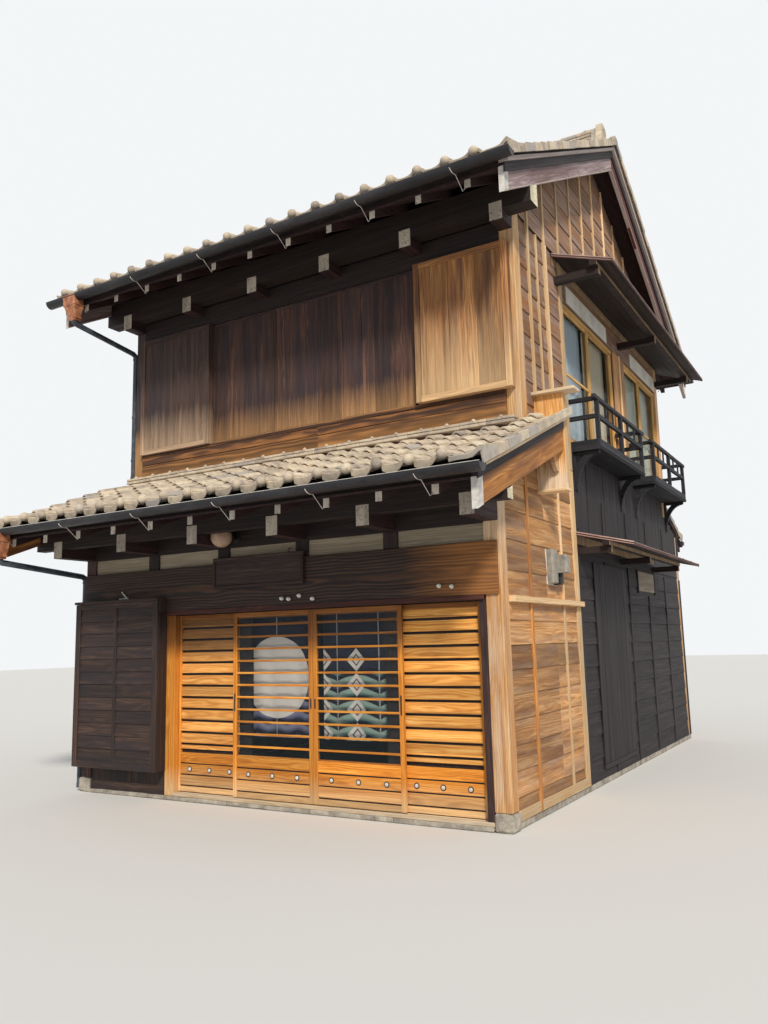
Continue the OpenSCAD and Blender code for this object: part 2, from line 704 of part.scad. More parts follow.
// A stack of flat tiles along the ridge, between two upright ornaments that stand higher
ridge_shoulder = 60;
module ridge_part(x0, x1, h) {
    half = ridge_w / 2;
    top = ridge_w / 5;
    base = main_under(ridge_y) + pent_stack + seat;
    foot = base - roof_slope * half;
    shoulder = base + h - ridge_shoulder;
    across(x0, x1, [[ridge_y - half, foot], [ridge_y, base], [ridge_y + half, foot],
        [ridge_y + half, shoulder], [ridge_y + top, base + h], [ridge_y - top, base + h],
        [ridge_y - half, shoulder]]);
}
module ridge() color("gainsboro") placed() {
    left = tiles_l + ridge_in;
    right = tiles_r - ridge_in;
    ridge_part(left + ridge_end_w + hair, right - ridge_end_w - hair, ridge_h);
    for (x = [left, right - ridge_end_w])
        ridge_part(x, x + ridge_end_w, ridge_h + ridge_end_h);
}

module bargeboards() color("chocolate") placed()
    for (x = [verge_l, verge_r - barge_t]) {
        up = rafter_h - barge_h;
        main_layer(x, x + barge_t, up, barge_h, board_over);
        pent_layer(x, x + barge_t, pent_edge_y - board_over, x > 0 ? tail_y : upper_y, up, barge_h);
        if (x < 0)
            pent_layer(x, x + barge_t, upper_end, rear_edge_y + board_over, up, barge_h);
    }

// The board box that closes the upper end of the right verge, and its cap
verge_box_d = 100;
verge_box_drop = 520;
verge_box_top = skirt_z - 20;
cap_lip = 60;
cap_t = 35;
module verge_box() placed() {
    color("antiquewhite") block(wall_out, verge_r + verge_box_d / 8, tail_y + hair,
        tail_y + verge_box_d, pent_under(tail_y) - verge_box_drop, verge_box_top);
    color("dimgray") block(wall_out, cap_reach, tail_y - cap_lip, tail_y + verge_box_d + 10,
        verge_box_top, verge_box_top + cap_t);
}

// Half-round gutters along x; the rims stand a little under the tiles
module gutter(x1, y, z) translate([gutters_l, y, z]) rotate([90, 0, 90])
    linear_extrude(x1 - gutters_l) difference() {
        circle(gutter_r);
        circle(gutter_r - gutter_t);
        translate([-2 * gutter_r, 0]) square(4 * gutter_r);
    }
gutter_up = roof_stack + 70;
// How far the upper gutters and the lower front one reach past the tiles at the right
main_gutter_lip = 30;
pent_gutter_lip = 5;
main_gutter_y = roof_edge_y - gutter_y;
main_gutter_z = main_under(roof_edge_y) + gutter_up;
pent_gutter_y = pent_edge_y - gutter_y;
pent_gutter_z = pent_under(pent_edge_y) + gutter_up;
module gutters() color("dimgray") placed() {
    gutter(tiles_r + main_gutter_lip, main_gutter_y, main_gutter_z);
    gutter(tiles_r + main_gutter_lip, 2 * ridge_y - main_gutter_y, main_gutter_z);
    gutter(tiles_r + pent_gutter_lip, pent_gutter_y, pent_gutter_z);
    gutter(0, rear_edge_y + gutter_y, pent_under(rear_edge_y) + gutter_up);
}

// A round pipe between two points
module pipe(a, b) {
    d = b - a;
    translate(a) rotate([0, acos(d[2] / norm(d)), atan2(d[1], d[0])]) cylinder(r = pipe_r, h = norm(d));
}
pipe_x = -house_w - wall_recess - pipe_r - 5;
hopper_w = 200;
hopper_h = 240;
elbow_drop = 110;
clip_h = 20;
// A hopper under a gutter, a pipe back to the wall and a pipe down it, held by clips. All of them
// stand just clear of each other
module downpipe(y, z, wall_y, foot_z) {
    hopper_z = z - gutter_r - hair - hopper_h;
    elbow_z = hopper_z - pipe_r - elbow_drop;
    color("sienna") block(pipe_x - hopper_w / 2, pipe_x + hopper_w / 2, y - gutter_r, y + gutter_r,
        hopper_z, hopper_z + hopper_h);
    color("black") {
        pipe([pipe_x, y, hopper_z - pipe_r], [pipe_x, wall_y - 2 * pipe_r, elbow_z]);
        pipe([pipe_x, wall_y, foot_z], [pipe_x, wall_y, elbow_z + pipe_r]);
        for (clip_z = [elbow_z - 2 * clip_h, (elbow_z + foot_z) / 2])
            block(pipe_x + pipe_r + seat, -house_w, wall_y - clip_h / 2, wall_y + clip_h / 2, clip_z,
                clip_z + clip_h);
    }
}
module downpipes() placed() {
    downpipe(main_gutter_y, main_gutter_z, upper_y + pipe_r + 5, wall_top + pent_stack + pipe_r);
    downpipe(pent_gutter_y, pent_gutter_z, pipe_r + 5, pipe_r);
}

module side_canopy() color("dimgray") placed() {
    edge_z = canopy_z - canopy_fall * canopy_reach;
    along(canopy_y, upper_end + canopy_over, [[0, canopy_z], [canopy_reach, edge_z],
        [canopy_reach, edge_z + canopy_t], [0, canopy_z + canopy_t]]);
}

lean_y = window_y0 - 15;
module lean_to_roof() color("gray") placed() {
    edge_z = lean_z - lean_fall * lean_reach;
    along(lean_y, lean_y + lean_l, [[0, lean_z], [lean_reach, edge_z],
        [lean_reach, edge_z + lean_t], [0, lean_z + lean_t]]);
}

// A side roof that falls outwards from a level z at x = 0 is carried by a ledger on the wall, and by
// a purlin on arms out of the wall
purlin_rise = 40;
ledger_h = 90;
arm_in = 60;
module side_frame(y0, y1, arm_ys, z, fall, t, reach, arm) {
    low_z = z - fall * reach - seat;
    high_z = low_z + fall * arm;
    arm_z = low_z - purlin_rise - arm;
    block(wall_out, -seat, y0, min(y1, window_y3 - hair), z - ledger_h, z + t);
    for (y = arm_ys)
        block(side_face(y + arm), reach, y, y + arm, arm_z, arm_z + arm);
    along(y0, y1, [[reach - arm, arm_z + arm + hair], [reach, arm_z + arm + hair], [reach, low_z],
        [reach - arm, high_z]]);
}
module side_roof_frames() color("dimgray") placed() {
    side_frame(canopy_y, upper_end + canopy_over, [canopy_y + arm_in, window_y1 + balcony_pier / 2,
        upper_end - arm_in - canopy_arm], canopy_z, canopy_fall, canopy_t, canopy_reach - canopy_eave,
        canopy_arm);
    side_frame(lean_y, lean_y + lean_l, [lean_y + arm_in, lean_y + lean_l / 2,
        lean_y + lean_l - arm_in - lean_arm], lean_z, lean_fall, lean_t, lean_reach - lean_eave, lean_arm);
}

// A balcony: a deep base, posts, rails with long ends, and curved brackets below. Its sticks are
// separate solids that all but touch
balcony_z = window_sill_z - base_h;
rail_z = window_sill_z + rail_h;
mid_rail_z = rail_z - mid_rail_drop;
bracket_in = 40;
bracket_lip = 20;
bracket_curve_x = balcony_reach - bracket_in;
bracket_curve_z = bracket_h - bracket_in;
module balcony(y0) {
    y1 = y0 + balcony_l;
    front = balcony_reach - rail_w;
    post_ys = [y0, (y0 + y1 - rail_w) / 2, y1 - rail_w];
    block(0, balcony_reach, y0, y1, balcony_z, window_sill_z);
    block(wall_out, -hair, y0, min(y1, window_y3) - hair, balcony_z, window_sill_z);
    block(front, balcony_reach, y0 - horn, y1 + horn, rail_z - rail_w, rail_z);
    for (y = post_ys)
        block(front, balcony_reach, y, y + rail_w, window_sill_z + hair, rail_z - rail_w - hair);
    for (i = [0, 1])
        block(front, balcony_reach, post_ys[i] + rail_w + hair, post_ys[i + 1] - hair, mid_rail_z,
            mid_rail_z + rail_w);
    for (y = [post_ys[0], post_ys[2]], z = [rail_z - rail_w, mid_rail_z])
        block(side_face(y + rail_w), front - hair, y, y + rail_w, z, z + rail_w);
    foot_z = balcony_z - bracket_h;
    top_z = balcony_z - hair;
    for (y = [y0 + bracket_in, y1 - bracket_in - bracket_w]) {
        x = side_face(y + bracket_w);
        along(y, y + bracket_w, concat([[x, top_z], [x, foot_z]],
            [for (a = [0 : 15 : 90]) [bracket_curve_x - (bracket_curve_x - bracket_lip) * cos(a),
                foot_z + bracket_curve_z * sin(a)]],
            [[balcony_reach - bracket_lip, foot_z + bracket_curve_z],
                [balcony_reach - bracket_lip, top_z]]));
    }
}
module balconies() color("dimgray") placed() {
    balcony(window_y0 + balcony_in + horn - rail_w);
    balcony(window_y2 + balcony_in);
}

sign_x = line_x(3) - 90;
sign_t = 40;
sign_top = lintel_top + 55;
module signboard() color("black") placed()
    block(sign_x, sign_x + sign_w, -lintel_t - sign_t, -lintel_t, sign_top - sign_h, sign_top);

// A globe on a short round arm that stands out of the wall plate
lamp_x = line_x(3) + arm_w / 2 + lamp_r + 15;
lamp_y = purlin_d - arm_reach + lamp_r + 5;
lamp_z = plate_top - lamp_r;
lamp_stem = 25;
lamp_foot = 15;
module lamp() placed() translate([lamp_x, lamp_y, lamp_z]) {
    color("antiquewhite") sphere(lamp_r);
    color("dimgray") rotate([-90, 0, 0]) {
        cylinder(r = lamp_stem, h = -plate_lip - lamp_y);
        translate([0, 0, -plate_lip - lamp_foot - lamp_y]) cylinder(r = lamp_r / 2, h = lamp_foot);
    }
}

module meter_box() color("silver") placed()
    block(wall_out, meter_reach, meter_y, meter_y + meter_l, meter_z, meter_z + meter_h);

// Two cloths hang on the back of the beam over the doors
cloth_t = 8;
module door_cloths() color("midnightblue") placed()
    for (x = [glazed_l_x, glazed_r_x])
        block(x + (door_w - cloth_w) / 2, x + (door_w + cloth_w) / 2, frame_d, frame_d + cloth_t,
            lintel_z - cloth_h, lintel_z);

plinth();
ground_floor();
lower_posts();
door_threshold();
front_beams();
front_lintel();
transom_panels();
lower_front_wall();
louvre_door_right();
louvre_door_left();
glazed_door_right();
glazed_door_left();
door_glass_right();
door_glass_left();
lower_shutter_box();
lower_right_wall();
left_wall();
rear_wall();
upper_floor();
upper_posts();
upper_front_wall();
upper_front_head();
upper_shutter_boxes();
rain_shutters();
upper_right_wall();
window_frames();
window_glass();
right_gable();
arms();
eave_purlins();
roof_beams();
rafters();
roof_boards();
pent_tiles();
main_tiles();
ridge();
bargeboards();
verge_box();
gutters();
downpipes();
side_canopy();
lean_to_roof();
side_roof_frames();
balconies();
signboard();
lamp();
meter_box();
door_cloths();
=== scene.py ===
"""Looks of a two-storey timber townhouse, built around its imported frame.

All places are in metres in the street frame of the house: x runs to the right along the front, y runs
back into the house, z runs up, and the foot of the front right corner post is the origin. Every point
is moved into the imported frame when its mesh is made.
"""
import random
from functools import partialmethod
from math import ceil, cos, hypot, pi, radians, sin

import bpy
import numpy as np
from mathutils import Matrix, Vector


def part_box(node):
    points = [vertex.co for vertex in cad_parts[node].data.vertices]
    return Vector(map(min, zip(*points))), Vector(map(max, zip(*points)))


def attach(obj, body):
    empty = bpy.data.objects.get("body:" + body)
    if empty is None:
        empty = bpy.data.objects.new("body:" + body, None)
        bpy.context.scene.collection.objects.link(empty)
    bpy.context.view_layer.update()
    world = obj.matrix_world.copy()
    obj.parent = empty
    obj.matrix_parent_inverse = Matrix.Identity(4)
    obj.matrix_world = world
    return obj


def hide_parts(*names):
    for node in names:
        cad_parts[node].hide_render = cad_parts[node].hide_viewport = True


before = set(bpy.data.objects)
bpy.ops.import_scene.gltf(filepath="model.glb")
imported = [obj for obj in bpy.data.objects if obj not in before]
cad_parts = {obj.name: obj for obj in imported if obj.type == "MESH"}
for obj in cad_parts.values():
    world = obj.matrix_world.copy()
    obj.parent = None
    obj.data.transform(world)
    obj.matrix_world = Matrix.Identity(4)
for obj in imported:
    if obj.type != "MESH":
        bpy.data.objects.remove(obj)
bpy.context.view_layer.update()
dice = random.Random(7)

# The street frame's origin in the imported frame, and the driving sizes of the house
POSTS_LOW, POSTS_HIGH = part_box("lower_posts")
ORIGIN = np.array((POSTS_HIGH.x, POSTS_LOW.y, 0.0))


def street_box(node):
    """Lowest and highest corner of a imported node, in the street frame."""
    return [(np.array(corner) - ORIGIN).tolist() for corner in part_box(node)]


BAY = 0.985
POST = 0.150
MAIN_SLOPE = 0.555
PENT_SLOPE = 0.400
RAFTER_H = 0.080
ROOF_STACK = 0.102
TILE_T = 0.175
HOUSE_L = street_box("lower_posts")[0][0]
HOUSE_D = street_box("lower_posts")[1][1]
UPPER_Y = street_box("upper_posts")[0][1]
UPPER_END = street_box("upper_posts")[1][1]
WALL_TOP = street_box("upper_posts")[0][2]
ROOF_Z = street_box("upper_posts")[1][2]
RIDGE_Y = (UPPER_Y + UPPER_END) / 2
TAIL_Y = street_box("verge_box")[0][1] + 0.06
WALL_X = -0.020
WINDOW_SILL = 3.600
WINDOW_HEAD = 5.190
# Face of the wall, sill and head of the rear windows
REAR_WINDOWS = ((HOUSE_D - 0.020, 0.900, 1.860), (UPPER_END - 0.020, WINDOW_SILL, 4.640))
LEFT_X = HOUSE_L + 0.020
SIGNS = (-1, 1)
SQUARE = ((-1, -1), (1, -1), (1, 1), (-1, 1))
RIGHT = np.array((1.0, 0.0, 0.0))
BACK = np.array((0.0, 1.0, 0.0))
UP = np.array((0.0, 0.0, 1.0))


def line_x(k):
    """A bay line across the front, counted from the right."""
    return -POST / 2 - k * BAY


def main_under(y):
    """Underside of the main rafters."""
    return ROOF_Z + MAIN_SLOPE * (RIDGE_Y - UPPER_Y - abs(y - RIDGE_Y))


def pent_under(y):
    """Underside of the rafters of the lower roofs, front and rear."""
    return WALL_TOP + PENT_SLOPE * ((y - UPPER_Y) if y < RIDGE_Y else (UPPER_END - y))


# Meshes

def outward(points, quads):
    """Whether four-cornered faces look out of the closed shape that they go round."""
    a, b, c, d = (points[[q[i] for q in quads]] for i in range(4))
    return (a * np.cross(b, c)).sum() + (a * np.cross(c, d)).sum()


class Pile:
    """Boards, tiles and fittings gathered into one mesh, with what their finish needs: grain, the
    place along, across and into the wood; tone, a shade of each board; cut, 1 on end grain and 0.5 on
    worn edges."""

    def __init__(self):
        self.points, self.grains, self.tones = [], [], []
        self.faces, self.cuts, self.slots = [], [], []
        self.count = 0

    def add(self, points, faces, grain=None, tone=None, cuts=None, slot=0):
        """Points and the faces between them, with the number of their finish."""
        self.points.append(points)
        self.grains.append(points + dice.random() * 9 if grain is None else grain)
        self.tones.append(np.full(len(points), dice.random() if tone is None else tone))
        self.faces.extend([tuple(i + self.count for i in face) for face in faces])
        self.cuts.extend([0.0] * len(faces) if cuts is None else cuts)
        self.slots.extend([slot] * len(faces))
        self.count += len(points)

    def loft(self, rings, **more):
        """A closed shape through rings of as many points each, closed at both ends."""
        points, faces = loft(rings)
        self.add(points, faces, **more)

    def copies(self, shape, places):
        """One shape, points and faces, at many places, each a 3 by 4 matrix."""
        points, faces = shape
        for place in places:
            self.add(points @ place[:, :3].T + place[:, 3], faces, grain=points + dice.random() * 9)


def loft(rings):
    """Points and faces of a closed shape through rings."""
    rings = np.asarray(rings, float)
    n, m, _ = rings.shape
    points = rings.reshape(-1, 3)
    faces = []
    for i in range(n - 1):
        for k in range(m):
            j = (k + 1) % m
            faces.append((m * i + k, m * i + j, m * i + m + j, m * i + m + k))
    centre = points.mean(axis=0)
    turned = outward(points - centre, faces) < 0
    faces.append(tuple(range(m))[::-1])
    faces.append(tuple(range(m * n - m, m * n)))
    return points, [face[::-1] for face in faces] if turned else faces


def shown(name, data):
    """A new object in the scene."""
    obj = bpy.data.objects.new(name, data)
    bpy.context.scene.collection.objects.link(obj)
    return obj


def piece(name, pile, finishes, replaces=(), body="house", smooth=None):
    """The finished object of a pile. smooth is the angle in degrees below which faces blend."""
    mesh = bpy.data.meshes.new(name)
    mesh.from_pydata(np.concatenate(pile.points) + ORIGIN, [], pile.faces)
    grain = mesh.attributes.new("grain", "FLOAT_VECTOR", "POINT")
    grain.data.foreach_set("vector", np.concatenate(pile.grains).astype(np.float32).ravel())
    tone = mesh.attributes.new("tone", "FLOAT", "POINT")
    tone.data.foreach_set("value", np.concatenate(pile.tones).astype(np.float32))
    cut = mesh.attributes.new("cut", "FLOAT", "FACE")
    cut.data.foreach_set("value", np.array(pile.cuts, np.float32))
    for finish in finishes.split():
        mesh.materials.append(Finish.all[finish])
    mesh.polygons.foreach_set("material_index", np.array(pile.slots, np.int32))
    if smooth:
        mesh.polygons.foreach_set("use_smooth", [True] * len(mesh.polygons))
        mesh.set_sharp_from_angle(angle=radians(smooth))
    mesh.update()
    obj = shown(name, mesh)
    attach(obj, body)
    if replaces:
        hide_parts(*replaces)
    return obj


def plank(pile, a, b, c, d, thick, out, chamfer=0.003, wobble=0.0, step=0.6, tone=None, slot=0):
    """A board. Its face has the lower edge a-b and the upper edge c-d, a and c at its start, and looks
    along out. Its back lies thick behind the face. wobble is how far its edges stray."""
    a, b, c, d, out = (np.asarray(v, float) for v in (a, b, c, d, out))
    length = max(np.linalg.norm(b - a), np.linalg.norm(d - c))
    width = max(np.linalg.norm(c - a), np.linalg.norm(d - b))
    e = min(chamfer, width / 4, thick / 4)
    inner = np.linspace(0, 1, max(2, ceil(length / step) + 1))[1:-1]
    end = min(0.2, e / max(length, 1e-6))
    stops = np.concatenate([[0, end], inner, [1 - end, 1]])
    shrink = np.array([e, 0] + [0] * len(inner) + [0, e])
    low = a + np.outer(stops, b - a)
    high = c + np.outer(stops, d - c)
    gap = np.linalg.norm(high - low, axis=1)[:, None]
    cross = np.where(gap > 1e-6, high - low, c - a + d - b) / np.maximum(gap, 1e-6)
    if wobble:
        stray = np.array([[dice.gauss(0, wobble) for _ in range(3)] for _ in stops])
        stray[1], stray[-2] = stray[0], stray[-1]
        stray = np.clip(stray, -2 * wobble, 2 * wobble)
        low = low + cross * stray[:, :1] + out * (stray[:, 2:] - 2 * wobble) / 2
        high = high + cross * stray[:, 1:2] + out * (stray[:, 2:] - 2 * wobble) / 2
    low = low + cross * shrink[:, None]
    high = high - cross * shrink[:, None]
    ring = []
    depths = (0, e, thick - e, thick)
    for side, across, deep in ((0, 1, 0), (1, -1, 0), (1, 0, 1), (1, 0, 2), (1, -1, 3), (0, 1, 3), (0, 0, 2),
                               (0, 0, 1)):
        sunk = np.clip(np.full(len(stops), depths[deep]), shrink, thick - shrink)
        ring.append((high if side else low) + cross * across * e - out * sunk[:, None])
    points = np.stack(ring, axis=1)
    start = dice.random() * 20
    across = np.array((e, width - e, width, width, width - e, e, 0, 0)) - width * dice.uniform(0.15, 0.85)
    into = np.array((0, 0, e, thick - e, thick, thick, thick - e, e)) + dice.uniform(0.02, 0.12)
    grain = np.empty_like(points)
    grain[..., 0] = start + (stops * length)[:, None]
    grain[..., 1] = across
    grain[..., 2] = into
    n = len(stops)
    cuts = [0.5 if k % 2 or i in (0, n - 2) else 0.0 for i in range(n - 1) for k in range(8)] + [1.0, 1.0]
    pile.loft(points, grain=grain.reshape(-1, 3), tone=tone, cuts=cuts, slot=slot)


def bar(pile, x0, x1, y0, y1, z0, z1, along="x", **more):
    """A board or post between two corners, with its grain along x, y or z."""
    if along == "x":
        plank(pile, (x0, y0, z0), (x1, y0, z0), (x0, y0, z1), (x1, y0, z1), y1 - y0, -BACK, **more)
    elif along == "y":
        plank(pile, (x1, y0, z0), (x1, y1, z0), (x1, y0, z1), (x1, y1, z1), x1 - x0, RIGHT, **more)
    else:
        plank(pile, (x0, y0, z0), (x0, y0, z1), (x1, y0, z0), (x1, y0, z1), y1 - y0, -BACK, **more)


def circle(centre, axis, radius, sides, start=0.0):
    """Points round an axis."""
    axis = np.asarray(axis, float) / np.linalg.norm(axis)
    one = np.cross(axis, UP if abs(axis[2]) < 0.9 else BACK)
    one = one / np.linalg.norm(one)
    two = np.cross(axis, one)
    turn = start + np.arange(sides) * 2 * pi / sides
    return np.asarray(centre) + radius * (np.outer(np.cos(turn), one) + np.outer(np.sin(turn), two))


def lathe(pile, centre, axis, profile, sides=16, start=0.0, **more):
    """A turned shape. profile lists the distance along the axis and the radius there."""
    axis = np.asarray(axis, float) / np.linalg.norm(axis)
    pile.loft([circle(np.asarray(centre) + axis * s, axis, max(r, 1e-4), sides, start) for s, r in profile],
              **more)


def tube(pile, path, radius, sides=8, **more):
    """A round rod or pipe along a list of points."""
    path = [np.asarray(p, float) for p in path]
    rings = []
    for i, p in enumerate(path):
        ahead = path[min(i + 1, len(path) - 1)] - path[max(i - 1, 0)]
        rings.append(circle(p, ahead, radius, sides))
    pile.loft(rings, **more)


def sawn(pile, outline, place, near, far, **more):
    """A piece sawn to an outline of (s, t), between two depths of place(s, t, depth)."""
    pile.loft([[place(s, t, depth) for s, t in outline] for depth in (near, far)], **more)


def ball(pile, centre, radius, sides=20, **more):
    """A round globe."""
    turns = np.linspace(0.02, pi - 0.02, sides // 2 + 1)
    lathe(pile, centre, UP, [(-radius * cos(a), radius * sin(a)) for a in turns], sides, **more)


def on_right(s, z, out=0.0):
    """A place on the right side wall: s runs back, and out is the distance from the wall's face."""
    return np.array((WALL_X + out, s, z))


def on_left(s, z, out=0.0):
    """A place on the left side wall."""
    return np.array((LEFT_X - out, s, z))


def on_rear(face):
    """Places on a wall that faces the rear."""
    def place(s, z, out=0.0):
        return np.array((s, face + out, z))
    return place


def span(outline, z):
    """Lowest and highest s of a convex outline of (s, z) at a level."""
    hits = []
    for (s0, z0), (s1, z1) in zip(outline, outline[1:] + outline[:1]):
        if z0 != z1 and min(z0, z1) - 1e-9 <= z <= max(z0, z1) + 1e-9:
            hits.append(s0 + (s1 - s0) * (z - z0) / (z1 - z0))
        elif z0 == z1 and abs(z - z0) < 1e-9:
            hits += [s0, s1]
    return min(hits), max(hits)


def lapped(pile, place, outline, pitch, breaks=(), jut=0.022, slot=0):
    """Lapped boards over an outline of (s, z), cut at some of the breaks."""
    thick = 0.012
    low_end = min(z for _, z in outline)
    high_end = max(z for _, z in outline)
    out = place(0, 0, 1) - place(0, 0, 0)
    z = low_end
    while z < high_end - 0.02:
        low = max(z - 0.015, low_end)
        high = min(z + pitch, high_end)
        (s0, s1), (t0, t1) = span(outline, low), span(outline, high - 1e-6)
        inner = [b for b in breaks if max(s0, t0) + 0.2 < b < min(s1, t1) - 0.2 and dice.random() < 0.55]
        cuts = [(s0, t0)] + [(b, b) for b in inner] + [(s1, t1)]
        for (sa, ta), (sb, tb) in zip(cuts, cuts[1:]):
            sag = dice.gauss(0, 0.0015)
            plank(pile, place(sa + 0.001, low + sag, jut), place(sb - 0.001, low - sag, jut),
                  place(ta + 0.001, high, jut - thick), place(tb - 0.001, high, jut - thick), thick, out,
                  wobble=0.0012, chamfer=0.002, slot=slot)
        z += pitch


def upright(pile, place, s, width, z0, z1, jut, thick, **more):
    """A strip or post that stands on a wall."""
    out = place(0, 0, 1) - place(0, 0, 0)
    plank(pile, place(s - width / 2, z0, jut), place(s - width / 2, z1, jut), place(s + width / 2, z0, jut),
          place(s + width / 2, z1, jut), thick, out, wobble=0.001, **more)


def level(pile, place, s0, s1, z0, z1, jut, thick, **more):
    """A strip or rail that lies along a wall."""
    out = place(0, 0, 1) - place(0, 0, 0)
    plank(pile, place(s0, z0, jut), place(s1, z0, jut), place(s0, z1, jut), place(s1, z1, jut), thick, out,
          **more)


def stretches(start, stop, least, most, merge=0.0):
    """Stretches of chance length from start to stop. A rest shorter than merge joins the last one."""
    while start < stop - 0.01:
        end = min(start + dice.uniform(least, most), stop)
        if stop - end < merge:
            end = stop
        yield start, end
        start = end


def panel(pile, x0, x1, y, depth, z0, z1, boards, stile=0.05, rail=0.05, face=0.012, **more):
    """A framed panel of upright boards that faces the street at y."""
    for a in (x0, x1 - stile):
        bar(pile, a, a + stile, y, y + depth, z0, z1, "z", wobble=0.001, **more)
    for z in (z0, z1 - rail):
        bar(pile, x0 + stile, x1 - stile, y + 0.002, y + depth, z, z + rail, "x", wobble=0.001, **more)
    edges = [x0 + stile]
    width = (x1 - x0 - 2 * stile) / boards
    for i in range(boards):
        edges.append(x0 + stile + width * (i + 1) + (dice.uniform(-0.2, 0.2) * width
                                                     if i < boards - 1 else 0))
    for a, b in zip(edges, edges[1:]):
        sunk = face + dice.uniform(0, 0.003)
        bar(pile, a + 0.001, b - 0.001, y + sunk, y + depth - 0.002, z0 + rail, z1 - rail, "z",
            wobble=0.0012, **more)


# Finishes

def colour(screen):
    """A screen colour, three numbers of 0 to 255, as a shader takes it. Anything else stays."""
    if not isinstance(screen, tuple):
        return screen
    parts = [c / 255 for c in screen]
    return tuple(c / 12.92 if c <= 0.04045 else ((c + 0.055) / 1.055) ** 2.4 for c in parts) + (1.0,)


class Finish:
    """A material, kept in all under its name, and short calls that add and wire its nodes."""
    all = {}

    def __init__(self, name, rough=0.7, specular=0.4):
        self.material = Finish.all[name] = bpy.data.materials.new(name)
        self.material.use_nodes = True
        self.tree = self.material.node_tree
        self.shader = self.tree.nodes["Principled BSDF"]
        self.set("Roughness", rough)
        self.set("Specular IOR Level", specular)

    def put(self, socket, value):
        if isinstance(value, bpy.types.NodeSocket):
            self.tree.links.new(value, socket)
        else:
            socket.default_value = value

    def set(self, name, value):
        self.put(self.shader.inputs[name], value)

    def node(self, kind, inputs=(), **settings):
        made = self.tree.nodes.new("ShaderNode" + kind)
        for key, value in settings.items():
            setattr(made, key, value)
        for key, value in dict(inputs).items():
            self.put(made.inputs[key], value)
        return made

    def attribute(self, name):
        return self.node("Attribute", attribute_name=name).outputs

    def place(self):
        """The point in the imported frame."""
        return self.node("TexCoord").outputs["Object"]

    def part(self, vector, index):
        return self.node("SeparateXYZ", {0: vector}).outputs[index]

    def stretch(self, vector, x, y, z):
        return self.node("VectorMath", {0: vector, 1: (x, y, z)}, operation="MULTIPLY").outputs[0]

    def noise(self, vector, scale=1.0, detail=4.0, rough=0.55, bend=0.0):
        inputs = {"Vector": vector, "Scale": scale, "Detail": detail, "Roughness": rough, "Distortion": bend}
        return self.node("TexNoise", inputs).outputs["Fac"]

    def cells(self, vector, scale, **settings):
        return self.node("TexVoronoi", {"Vector": vector, "Scale": scale}, **settings).outputs

    def math(self, operation, one, two=0.0, three=0.0):
        return self.node("Math", {0: one, 1: two, 2: three}, operation=operation).outputs[0]

    add = partialmethod(math, "ADD")
    minus = partialmethod(math, "SUBTRACT")
    times = partialmethod(math, "MULTIPLY")
    times_add = partialmethod(math, "MULTIPLY_ADD")
    modulo = partialmethod(math, "MODULO")
    size = partialmethod(math, "ABSOLUTE")
    less = partialmethod(math, "LESS_THAN")

    def span(self, value, low, high, to_low=0.0, to_high=1.0, kind="LINEAR"):
        """Value from low to high, mapped and kept between two others."""
        inputs = {"Value": value, "From Min": low, "From Max": high, "To Min": to_low, "To Max": to_high}
        return self.node("MapRange", inputs, interpolation_type=kind).outputs["Result"]

    def ramp(self, value, *stops):
        made = self.node("ValToRGB", {"Fac": value})
        steps = made.color_ramp.elements
        while len(steps) < len(stops):
            steps.new(0.5)
        for step, (place, shade) in zip(steps, stops):
            step.position = place
            step.color = colour(shade)
        return made.outputs["Color"]

    def mix(self, amount, one, two, blend="MIX"):
        made = self.node("Mix", data_type="RGBA", blend_type=blend)
        self.put(made.inputs["Factor"], amount)
        self.put(made.inputs[6], colour(one))
        self.put(made.inputs[7], colour(two))
        return made.outputs[2]

    def shade(self, base, value):
        """The colour, darker or brighter by a grey value."""
        grey = self.node("CombineColor", {0: value, 1: value, 2: value}).outputs[0]
        return self.mix(1.0, base, grey, "MULTIPLY")

    def bump(self, height, strength=0.5, distance=0.002):
        inputs = {"Height": height, "Strength": strength, "Distance": distance}
        return self.node("Bump", inputs).outputs["Normal"]

    def done(self, base, normal=None, rough=None):
        self.set("Base Color", colour(base))
        if normal is not None:
            self.set("Normal", normal)
        if rough is not None:
            self.set("Roughness", rough)


